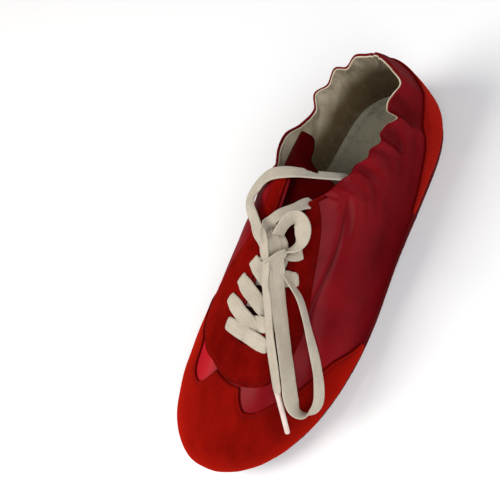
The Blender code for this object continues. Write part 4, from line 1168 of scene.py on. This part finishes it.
def wall(name, material, edge, low_out, low_in, outer, inner, rise, rows_out, rows_in):
    """Closed soft wall: up the outside, over a rounded edge, down the inside and back under.
    The edge is half an ellipse, as high as rise times half the wall's thickness. For the finish each point
    has its crease and how deep it lies under the edge, for painted shade; how pale it is, for a painted
    highlight; and how far it faces up, for gloss above and painted shade below."""
    turn = np.linspace(0, 1, AROUND, endpoint=False)
    angle_out = low_out + (edge[:, None] - low_out) * np.linspace(0, 1, rows_out) ** TOWARDS_EDGE
    angle_in = low_in + (edge[:, None] - low_in) * np.linspace(1, 0, rows_in) ** TOWARDS_EDGE
    turns = turn[:, None]
    outside, facing, _ = shell(turns + 0 * angle_out, angle_out, outer)
    inner_side = shell(turns + 0 * angle_in, angle_in, inner)[0]
    half = (outer - inner) / 2
    middle, normal, upward = shell(turn, edge, (outer + inner) / 2)
    phi = np.linspace(0, np.pi, RIM_STEPS + 2)[1:-1]
    rim = (
        middle[:, None]
        + normal[:, None] * (half * np.cos(phi))[:, None]
        + upward[:, None] * (half * rise * np.sin(phi))[:, None]
    )
    points = np.concatenate([outside, rim, inner_side], 1)
    count = points.shape[1]
    crease = np.concatenate([
        crease_depth(turns + 0 * angle_out, angle_out), np.zeros((AROUND, RIM_STEPS)),
        crease_depth(turns + 0 * angle_in, angle_in),
    ], 1)
    deep = smooth(middle[:, 2:] - points[..., 2], *PAINTED_SHADE_BELOW)
    quads = grid_quads(AROUND, count, wrap_rows=True, wrap_columns=True)[0]
    s, beside = points[..., 1], Ribs(turns).end_x - points[..., 0]
    pale = (1 - smooth(s, *PAINTED_HIGHLIGHT_S)) * smooth(beside, *PAINTED_HIGHLIGHT_BESIDE) * smooth(points[..., 2], *PAINTED_HIGHLIGHT_Z)
    # how far it faces up: gloss above, painted shade below and on the inside
    gloss = np.concatenate([
        smooth(facing[..., 2], *FACING_UP), 0.5 + np.zeros((AROUND, RIM_STEPS)), 0 * angle_in,
    ], 1)
    values = {"crease": crease, "edge": 0 * crease, "deep": deep, "pale": pale, "gloss": gloss}
    piece = make_piece(name, points.reshape(-1, 3), quads, material, values=values)
    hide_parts("upper")


def make_upper():
    """Crimson leather outside and cream lining inside, both cut by the collar and the throat. The lining
    stops a little short of the leather's edge along the throat, and meets it round the heel."""
    turn = np.linspace(0, 1, AROUND, endpoint=False)
    edge = edge_angle(Ribs(turn))
    wall(
        "leather_upper", LEATHER, edge, low_out=-1.0, low_in=-0.5, outer=0.0, inner=-SHELL_THICK,
        rise=1.1, rows_out=104, rows_in=12,
    )
    edge = edge - LINING_SHORT
    for span in LINING_MEETS:
        edge = edge + LINING_NEARER * smooth(Ribs(turn).s, *span)
    wall(
        "cream_lining", LINING, edge, low_out=-0.30, low_in=-0.75, outer=LINING_OUT, inner=LINING_IN,
        rise=1.4, rows_out=12, rows_in=60,
    )


# ---------------------------------------------------------------- suede overlays and their stitching

OVERLAY_TOP, OVERLAY_UNDER = 1.25, -0.25
OVERLAY_EDGE = 0.45  # height of the cut edge before it rounds over
EDGE_ROUND = 0.9
STITCH_IN, STITCH_LONG, STITCH_EVERY, STITCH_THICK = 2.0, 1.75, 2.5, 0.42
STITCH_GROOVE, STITCH_GROOVE_WIDE, STITCH_PROUD = 0.28, 0.55, 0.10
STITCH_REACH = 0.8  # how far ahead and behind its direction is taken
OVERLAY_COLUMNS, OVERLAY_ROWS, STAY_ROWS, EDGE_CROWD = 420, 54, 40, 0.75
GUARD_TOP = np.array([  # columns: s of the outline, z on the lateral side, z on the medial side
    (0, 36.8, 37.0), (11, 36.8, 36.9), (15.5, 36.4, 36.3), (20, 35.7, 36.0), (28, 35.2, 35.9),
    (36, 34.9, 36.4), (43, 34.5, 37.3), (50, 34.0, 38.1), (58, 33.0, 38.6), (68, 31.7, 37.2),
    (76, 30.6, 35.8), (85, 28.6, 33.4), (93, 26.0, 30.0), (98, 22.5, 26.0), (104, 17.0, 20.0),
    (110, 12.5, 15.0),
])
GUARD_END_S = {"lateral": 109.0, "medial": 113.0}
BRIDGE_MEDIAL, BRIDGE_LATERAL = (-31.0, -25.3), (21.0, 13.4)  # bearings from foot to top of its two sides
GUARD_GAP, BRIDGE_GAP = 0.022, 0.006  # least angles kept free under the eyestay
STAY_OUTER = np.array([  # columns: s of the outline, lateral, medial, from the spine
    (0, 28.0, 30.0), (24, 28.0, 30.4), (35, 28.1, 32.3), (45, 28.4, 34.2), (58, 28.5, 35.3), (68, 28.7, 37.6),
    (78, 28.9, 38.9), (85, 29.0, 38.9), (98, 29.5, 35.4), (107.5, 28.0, 32.9), (118, 25.2, 30.4),
    (131, 22.0, 24.6), (139.4, 20.3, 22.3), (145, 19.1, 21.3), (158, 16.2, 20.2), (168, 12.1, 20.1),
    (176, 9.6, 18.8),
])
STAY_END_S = {"lateral": 170.0, "medial": 174.0}
STAY_EDGE_BACK, STAY_LEAST = 0.008, 0.05
COUNTER_TOP = np.array([  # columns: distance round from the heel's back, z
    (0, 49.5), (4, 49.0), (8, 46.5), (14, 41.5), (27, 39.0), (34, 37.0), (43, 32.5),
    (55, 26.0), (66, 21.5), (74, 18.5), (85, 15.5), (92, 13.0),
])
COUNTER_END, COUNTER_EDGE_BACK = 90.0, 0.03
OVERLAY_LOW = -0.9
CHUNK = 3000  # points measured at a time, to spare memory


def distance_to(points, line):
    """Shortest distance from each point to a line of short segments."""
    flat = points.reshape(-1, 3)
    a, run = line[:-1], np.diff(line, axis=0)
    long = (run**2).sum(1) + 1e-12
    best = np.full(len(flat), np.inf)
    for k in range(0, len(flat), CHUNK):
        part = flat[k : k + CHUNK, None] - a
        u = np.clip((part * run).sum(-1) / long, 0, 1)
        best[k : k + CHUNK] = np.linalg.norm(part - u[..., None] * run, axis=-1).min(1)
    return best.reshape(points.shape[:-1])


def cut_profile(distance):
    """Height of a cut edge that rounds over: a quarter circle over EDGE_ROUND, on a short wall."""
    near = 1 - np.clip(distance / EDGE_ROUND, 0, 1)
    return OVERLAY_EDGE + (OVERLAY_TOP - OVERLAY_EDGE) * np.sqrt(np.clip(1 - near**2, 0, 1))


def inset_line(turn, angle, inward):
    """A line of rib angles moved square to itself over the surface, by inward mm down the ribs."""
    here, _, upward = shell(turn, angle, 0.0)
    speed = np.linalg.norm(shell(turn, angle + ANGLE_STEP, 0.0)[0] - here, axis=-1) / ANGLE_STEP
    run = np.gradient(here, axis=0)
    climb = (run * upward).sum(-1)
    level = np.sqrt(np.clip((run**2).sum(-1) - climb**2, 1e-9, None))
    steep = np.clip(np.abs(climb / level), 0, 3.0)
    return angle - inward * np.sqrt(1 + steep**2) / speed


def overlay(name, node, material, turn, low, high, rows, free_low=False):
    """Suede piece between two rib angles: its height over the upper depends on how far its edges are,
    with a shallow groove where the stitches run. Only a low edge that is free is cut and rounded."""
    angle = low[:, None] + (high - low)[:, None] * crowded(rows, EDGE_CROWD)
    turns = turn[:, None] + 0 * angle
    base = shell(turns, angle, 0.0)[0]
    border = [base[0], base[:, -1], base[-1]] + ([base[:, 0]] if free_low else [])
    far = np.min([distance_to(base, line) for line in border], axis=0)
    lift = cut_profile(far) - STITCH_GROOVE * bell(far - STITCH_IN, STITCH_GROOVE_WIDE)
    lift += 0.10 * np.sin(base[..., 0] * 0.35 + base[..., 1] * 0.22) * smooth(far, 1.0, 5.0)
    top = shell(turns, angle, lift)[0]
    under = shell(turns, angle, OVERLAY_UNDER)[0]
    count, columns = top.shape[:2]
    quads = slab_quads(count, columns)
    points = np.concatenate([top.reshape(-1, 3), under.reshape(-1, 3)])
    edge = np.concatenate([(1 - smooth(far, 0.0, 0.8)).ravel(), np.ones(count * columns)])
    piece = make_piece(name, points, quads, material, values={"edge": edge})
    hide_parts(node)


def capsule(long, thick):
    """One stitch as a grid round its length: a long superellipse, sunk at both ends. A few dozen faces."""
    t = np.linspace(-1, 1, 6)
    swell = np.sqrt(np.clip(1 - np.abs(t) ** 3.2, 0.06, 1))
    turn = np.linspace(0, 2 * np.pi, 6, endpoint=False)
    x = (t * long / 2)[:, None] + 0 * turn
    y = thick * 0.62 * swell[:, None] * np.cos(turn)
    z = thick * 0.55 * swell[:, None] * np.sin(turn) - 0.20 * np.abs(t[:, None]) ** 3
    points = np.stack([x, y, z], -1).reshape(-1, 3)
    quads = grid_quads(6, 6, wrap_columns=True)[0]
    ends = np.array([[0, 1, 2, 3], [0, 3, 4, 5], [30, 33, 32, 31], [30, 35, 34, 33]])
    return points, np.concatenate([quads, ends])


def stitch_rows(name, lines):
    """Rows of stitches along lines of (turn, angle): one capsule set at even steps, by whole arrays."""
    shape, faces = capsule(STITCH_LONG, STITCH_THICK)
    every_point, every_face, placed = [], [], 0
    for turn, angle in lines:
        middle, normal, _ = shell(turn, angle, OVERLAY_TOP - STITCH_GROOVE + STITCH_PROUD)
        gone = distance_along(middle)
        at = np.arange(STITCH_EVERY, gone[-1] - STITCH_EVERY / 2, STITCH_EVERY)
        place = read_at(at, gone, middle)
        run = unit(read_at(at + STITCH_REACH, gone, middle) - read_at(at - STITCH_REACH, gone, middle))
        side = unit(np.cross(unit(read_at(at, gone, normal)), run))
        axes = np.stack([run, side, np.cross(run, side)], 1)
        points = place[:, None] + np.einsum("pk,nkc->npc", shape, axes)
        every_point.append(points.reshape(-1, 3))
        number = placed + np.arange(len(at))[:, None, None] * len(shape)
        every_face.append((faces[None] + number).reshape(-1, 4))
        placed += len(at) * len(shape)
    make_piece(name, np.concatenate(every_point), np.concatenate(every_face), THREAD)


def guard_top(ribs):
    """Rib angle of the toe guard's upper edge, with the bridge that reaches up to the eyestay. The bridge's
    sides rise with the cube of the bearing, so that the windows have round lower corners."""
    stay = stay_outer(ribs)
    top = np.minimum(ribs.angle_up(both_sides(GUARD_TOP, ribs.s, ribs)), stay - GUARD_GAP)
    bearing = np.degrees(np.arctan2(-ribs.inward_x, ribs.inward_s))
    bridge = ribs.s < VAMP_S
    for foot, head in (BRIDGE_MEDIAL, BRIDGE_LATERAL):
        bridge = bridge * np.clip((bearing - foot) / (head - foot), 0, 1) ** 3
    return top + (stay - BRIDGE_GAP - top) * bridge


def stay_outer(ribs):
    """Rib angle of the eyestay's outer edge."""
    return ribs.angle_to(both_sides(STAY_OUTER, ribs.s, ribs))


def turns_between(ends):
    """Even turns from an overlay's lateral end round the toe to its medial end."""
    start, stop = (PLAN.turn_at(ends[side], side) for side in ("lateral", "medial"))
    return np.linspace(start, stop, OVERLAY_COLUMNS)


def stitch_line(turn, edge, inward, spare):
    """Line of stitches beside an edge, some mm inwards of it, that stops short of both ends."""
    return turn[spare:-spare], inset_line(turn, edge, inward)[spare:-spare]


def make_overlays():
    """Toe guard, eyestay and heel counter in suede, and the stitching that holds them."""
    lowest = np.full(OVERLAY_COLUMNS, OVERLAY_LOW)
    turn = turns_between(GUARD_END_S)
    high = guard_top(Ribs(turn))
    overlay("toe_guard_suede", "toe_guard", GUARD_SUEDE, turn, lowest, high, OVERLAY_ROWS)
    lines = [stitch_line(turn, high, STITCH_IN, 6)]
    turn = turns_between(STAY_END_S)
    high = edge_angle(Ribs(turn)) - STAY_EDGE_BACK
    low = np.minimum(stay_outer(Ribs(turn)), high - STAY_LEAST)
    overlay("eyestay_suede", "eyestay", STAY_SUEDE, turn, low, high, STAY_ROWS, free_low=True)
    lines += [stitch_line(turn, high, STITCH_IN, 4), stitch_line(turn, low, -STITCH_IN, 4)]
    distance = np.linspace(-COUNTER_END, COUNTER_END, OVERLAY_COLUMNS)
    turn = PLAN.turn_round(distance)
    turn = np.where(distance < 0, turn - 1, turn)
    ribs = Ribs(turn)
    high = ribs.angle_up(along(COUNTER_TOP, 1, np.abs(distance)))
    high = np.minimum(high, edge_angle(ribs) - COUNTER_EDGE_BACK)
    overlay("heel_counter_suede", "heel_counter", COUNTER_SUEDE, turn, lowest, high, OVERLAY_ROWS)
    lines.append(stitch_line(turn, high, STITCH_IN, 6))
    stitch_rows("overlay_stitches", lines)


# ---------------------------------------------------------------- tongue, footbed and sole

UPPER_WALL, GAP = 2.2, 0.3
TONGUE_THICK, TONGUE_CLEAR, TONGUE_CAP, TONGUE_CROWN = 2.5, 1.7, 71.5, 3.0
TONGUE_WIDE_POWER, TONGUE_HIGH_POWER, TONGUE_ROLLED = 0.8, 0.55, 0.985
TONGUE = np.array([  # columns: s, half the width, x of the middle
    (70, 11.0, 1.0), (84, 17.0, 1.0), (100, 18.0, 1.2), (125, 17.0, 4.0), (150, 16.0, 4.5), (165, 16.8, 3.4),
    (174, 19.6, 3.0), (178, 18.4, 0.8), (181.5, 12.6, -5.8), (186, 9.3, -9.6), (191, 8.7, -10.4),
    (195, 8.2, -11.6), (197.6, 6.6, -11.9), (198.6, 4.6, -12.0),
])
GROUND = np.array([  # columns: s, height of the sole's underside
    (0, 8.6), (8, 6.6), (20, 4.1), (35, 1.9), (50, 0.6), (64, 0.0), (122, 0.0), (138, 1.2),
    (156, 2.4), (174, 1.2), (190, 0.0), (250, 0.0), (256, 0.5), (262, 1.6),
])
SOLE_TOP_INSET, SOLE_FLAT_INSET = 2.6, 3.6
SOLE_TIP, INSOLE_TIP = 0.010, 0.012  # share of the length left off at toe and heel
SOLE_SIDE = [  # inset from the outline, share of the height from ground (0) to feather (1)
    (2.2, 0.97), (1.75, 0.90), (1.35, 0.80), (1.10, 0.70), (1.0, 0.62), (1.32, 0.57), (1.35, 0.54),
    (1.08, 0.50), (1.15, 0.38), (1.5, 0.24), (2.0, 0.12), (2.6, 0.05), (3.1, 0.012),
]
TREAD_EVERY, TREAD_DEEP = 5.6, 0.85
FOREFOOT_TREAD, HEEL_TREAD = (14, 22, 126, 134), (182, 190, 246, 252)
INSOLE_INSET, INSOLE_THICK, INSOLE_SHORT = 3.7, 3.0, 0.8


def inset_sides(inset, count, tip):
    """Lateral and medial sides of the outline inset by a distance, at count places from toe to heel that
    crowd towards both ends as a cosine does."""
    ribs = Ribs(np.linspace(0, 1, RIB_COUNT, endpoint=False))
    line = ribs.inset(inset, 0.0)
    low, high = line[:, 1].argmin(), line[:, 1].argmax()
    order = np.roll(np.arange(len(line)), -high)
    to_toe = int(np.where(order == low)[0][0])
    lateral, medial = line[order[: to_toe + 1]][::-1], line[order[to_toe:]]
    share = np.linspace(tip, 1 - tip, count)
    s = line[low, 1] + (line[high, 1] - line[low, 1]) * (1 - np.cos(np.pi * share)) / 2
    return s, np.interp(s, lateral[:, 1], lateral[:, 0]), np.interp(s, medial[:, 1], medial[:, 0])


def make_tongue():
    """Slack leather tongue: a superellipse section carried along under the throat, at a fixed depth below
    the last or under a crowned cap where that is lower, with a few soft waves over it."""
    rows, around = 150, 84
    tip = np.linspace(0, 1, rows)
    s = TONGUE[0, 0] + (TONGUE[-1, 0] - TONGUE[0, 0]) * (1 - (1 - tip) ** 1.25)
    half, middle = along(TONGUE, 1, s), along(TONGUE, 2, s)
    turn = np.linspace(0, 2 * np.pi, around, endpoint=False) + np.pi / around
    c, n = np.cos(turn), np.sin(turn)
    share = np.sign(c) * np.abs(c) ** TONGUE_WIDE_POWER
    thick = np.sign(n) * np.abs(n) ** TONGUE_HIGH_POWER
    level = np.linspace(-1, 1, 25)
    grid_x = middle[:, None] + half[:, None] * level
    grid_s = s[:, None] + 0 * grid_x
    normal_z = form_normal(grid_x, grid_s)[..., 2]
    height = surface_height(grid_x, grid_s) - (UPPER_WALL + TONGUE_CLEAR) / normal_z
    height = np.minimum(height, TONGUE_CAP - TONGUE_CROWN * level**2) - TONGUE_THICK / 2
    over = np.stack([np.interp(share, level, row) for row in height])
    x = middle[:, None] + half[:, None] * share
    wave = 0.35 * np.sin(s / 5.5)[:, None] * np.cos(share * 1.2) + 0.2 * np.sin(s / 2.9 + 1)[:, None] * share
    pad = 1 + 0.10 * np.sin(s / 4.0)[:, None]
    z = over + wave + thick * (TONGUE_THICK / 2) * pad
    points = np.stack([x, s[:, None] + 0 * x, z], -1)
    edge = 0.5 * (np.abs(share) > TONGUE_ROLLED) + 0 * x
    quads, values = tube_quads(rows, around)[0], {"crease": 0 * edge, "edge": edge}
    piece = make_piece(
        "leather_tongue", points.reshape(-1, 3), quads, TONGUE_LEATHER, values=values
    )
    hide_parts("tongue")


def make_footbed():
    """Cream footbed: a slab with a shallow dish for the heel and ball, rounded at its edge, and a fine line
    pressed round the heel."""
    rows, columns = 150, 41
    s, lateral, medial = inset_sides(INSOLE_INSET, rows, INSOLE_TIP)
    share = crowded(columns, 1.0)
    x = lateral[:, None] + (medial - lateral)[:, None] * share
    s = s - INSOLE_SHORT * smooth(s, 222, 259)
    grid_s = s[:, None] + 0 * x
    base = (section("feather", s) + UPPER_WALL + GAP)[:, None] + 0 * x
    side = np.minimum(share, 1 - share) * np.abs(lateral - medial)[:, None]
    side = np.minimum(side, np.minimum(s - s[0] + 0.5, s[-1] - s + 0.5)[:, None])
    rounded = 1 - 0.9 * (1 - np.clip(side / 2.0, 0, 1)) ** 2
    dish = 0.7 * smooth(side, 2.0, 15.0) * (bell(grid_s - 222, 26) + 0.7 * bell(grid_s - 85, 30))
    pressed = 0.35 * bell(side - 6.5, 1.3) * smooth(grid_s, 150, 200)
    top = base + INSOLE_THICK * rounded - dish - pressed
    over = np.stack([x, grid_s, top], -1)
    under = np.stack([x, grid_s, base], -1)[:, ::-1]
    points = np.concatenate([over, under], 1)
    # painted shade in the pressed line round the heel
    crease = np.concatenate([pressed * 1.5, 0 * pressed], 1)
    # darker towards the toe: painted shade under the vamp
    values = {"crease": crease, "deep": 1 - smooth(s, 165, 225)[:, None] + 0 * crease}
    quads = tube_quads(rows, 2 * columns)[0]
    piece = make_piece("cream_footbed", points.reshape(-1, 3), quads, FOOTBED, values=values)
    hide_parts("insole")


def tread(x, s):
    """Depth of the tread's grooves: fine waves across forefoot and heel, and a plain waist between them."""
    wave = s + 1.8 * np.sin(x / 5.2) + 0.07 * x * np.sign(s - 150)
    groove = smooth(np.cos(2 * np.pi * wave / TREAD_EVERY), 0.45, 0.85)
    return TREAD_DEEP * groove * (plateau(s, *FOREFOOT_TREAD) + plateau(s, *HEEL_TREAD))


def make_sole():
    """Thin rubber sole: a flat top, a side that swells at its waist over a fine line, a grooved underside.
    Its rings run across the top, down the medial side, back under the foot and up the lateral side."""
    rows, across_top, across_flat = 420, 24, 92
    medial_side, lateral_side = [], []
    for inset, share in SOLE_SIDE:
        s, lateral, medial = inset_sides(inset, rows, SOLE_TIP)
        ground, feather = along(GROUND, 1, s), section("feather", s) - GAP
        z = ground + share * (feather - ground)
        medial_side.append(np.stack([medial, s, z], -1))
        lateral_side.append(np.stack([lateral, s, z], -1))
    down, up = np.stack(medial_side, 1), np.stack(lateral_side, 1)[:, ::-1]

    def across(inset, count):
        s, lateral, medial = inset_sides(inset, rows, SOLE_TIP)
        share = np.linspace(0, 1, count)
        x = lateral[:, None] + (medial - lateral)[:, None] * share
        return x, s[:, None] + 0 * x, np.minimum(share, 1 - share) * np.abs(lateral - medial)[:, None]

    x, s, _ = across(SOLE_TOP_INSET, across_top)
    top = np.stack([x, s, section("feather", s) - GAP], -1)
    x, s, border = across(SOLE_FLAT_INSET, across_flat)
    depth = tread(x, s) * smooth(border, 3.0, 4.2) + 0.5 * bell(border - 2.4, 0.5)
    flat = np.stack([x, s, along(GROUND, 1, s) + depth], -1)[:, ::-1]
    ring = np.concatenate([top, down, flat, up], 1)
    worn = np.zeros(ring.shape[:2])
    before = across_top + len(SOLE_SIDE)
    worn[:, before : before + across_flat] = (1 - np.clip(depth / 0.4, 0, 1))[:, ::-1]
    quads = tube_quads(*ring.shape[:2])[0]
    piece = make_piece("rubber_sole", ring.reshape(-1, 3), quads, RUBBER, values={"tread": worn})
    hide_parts("outsole")


make_upper()
make_overlays()
make_tongue()
make_footbed()
make_sole()
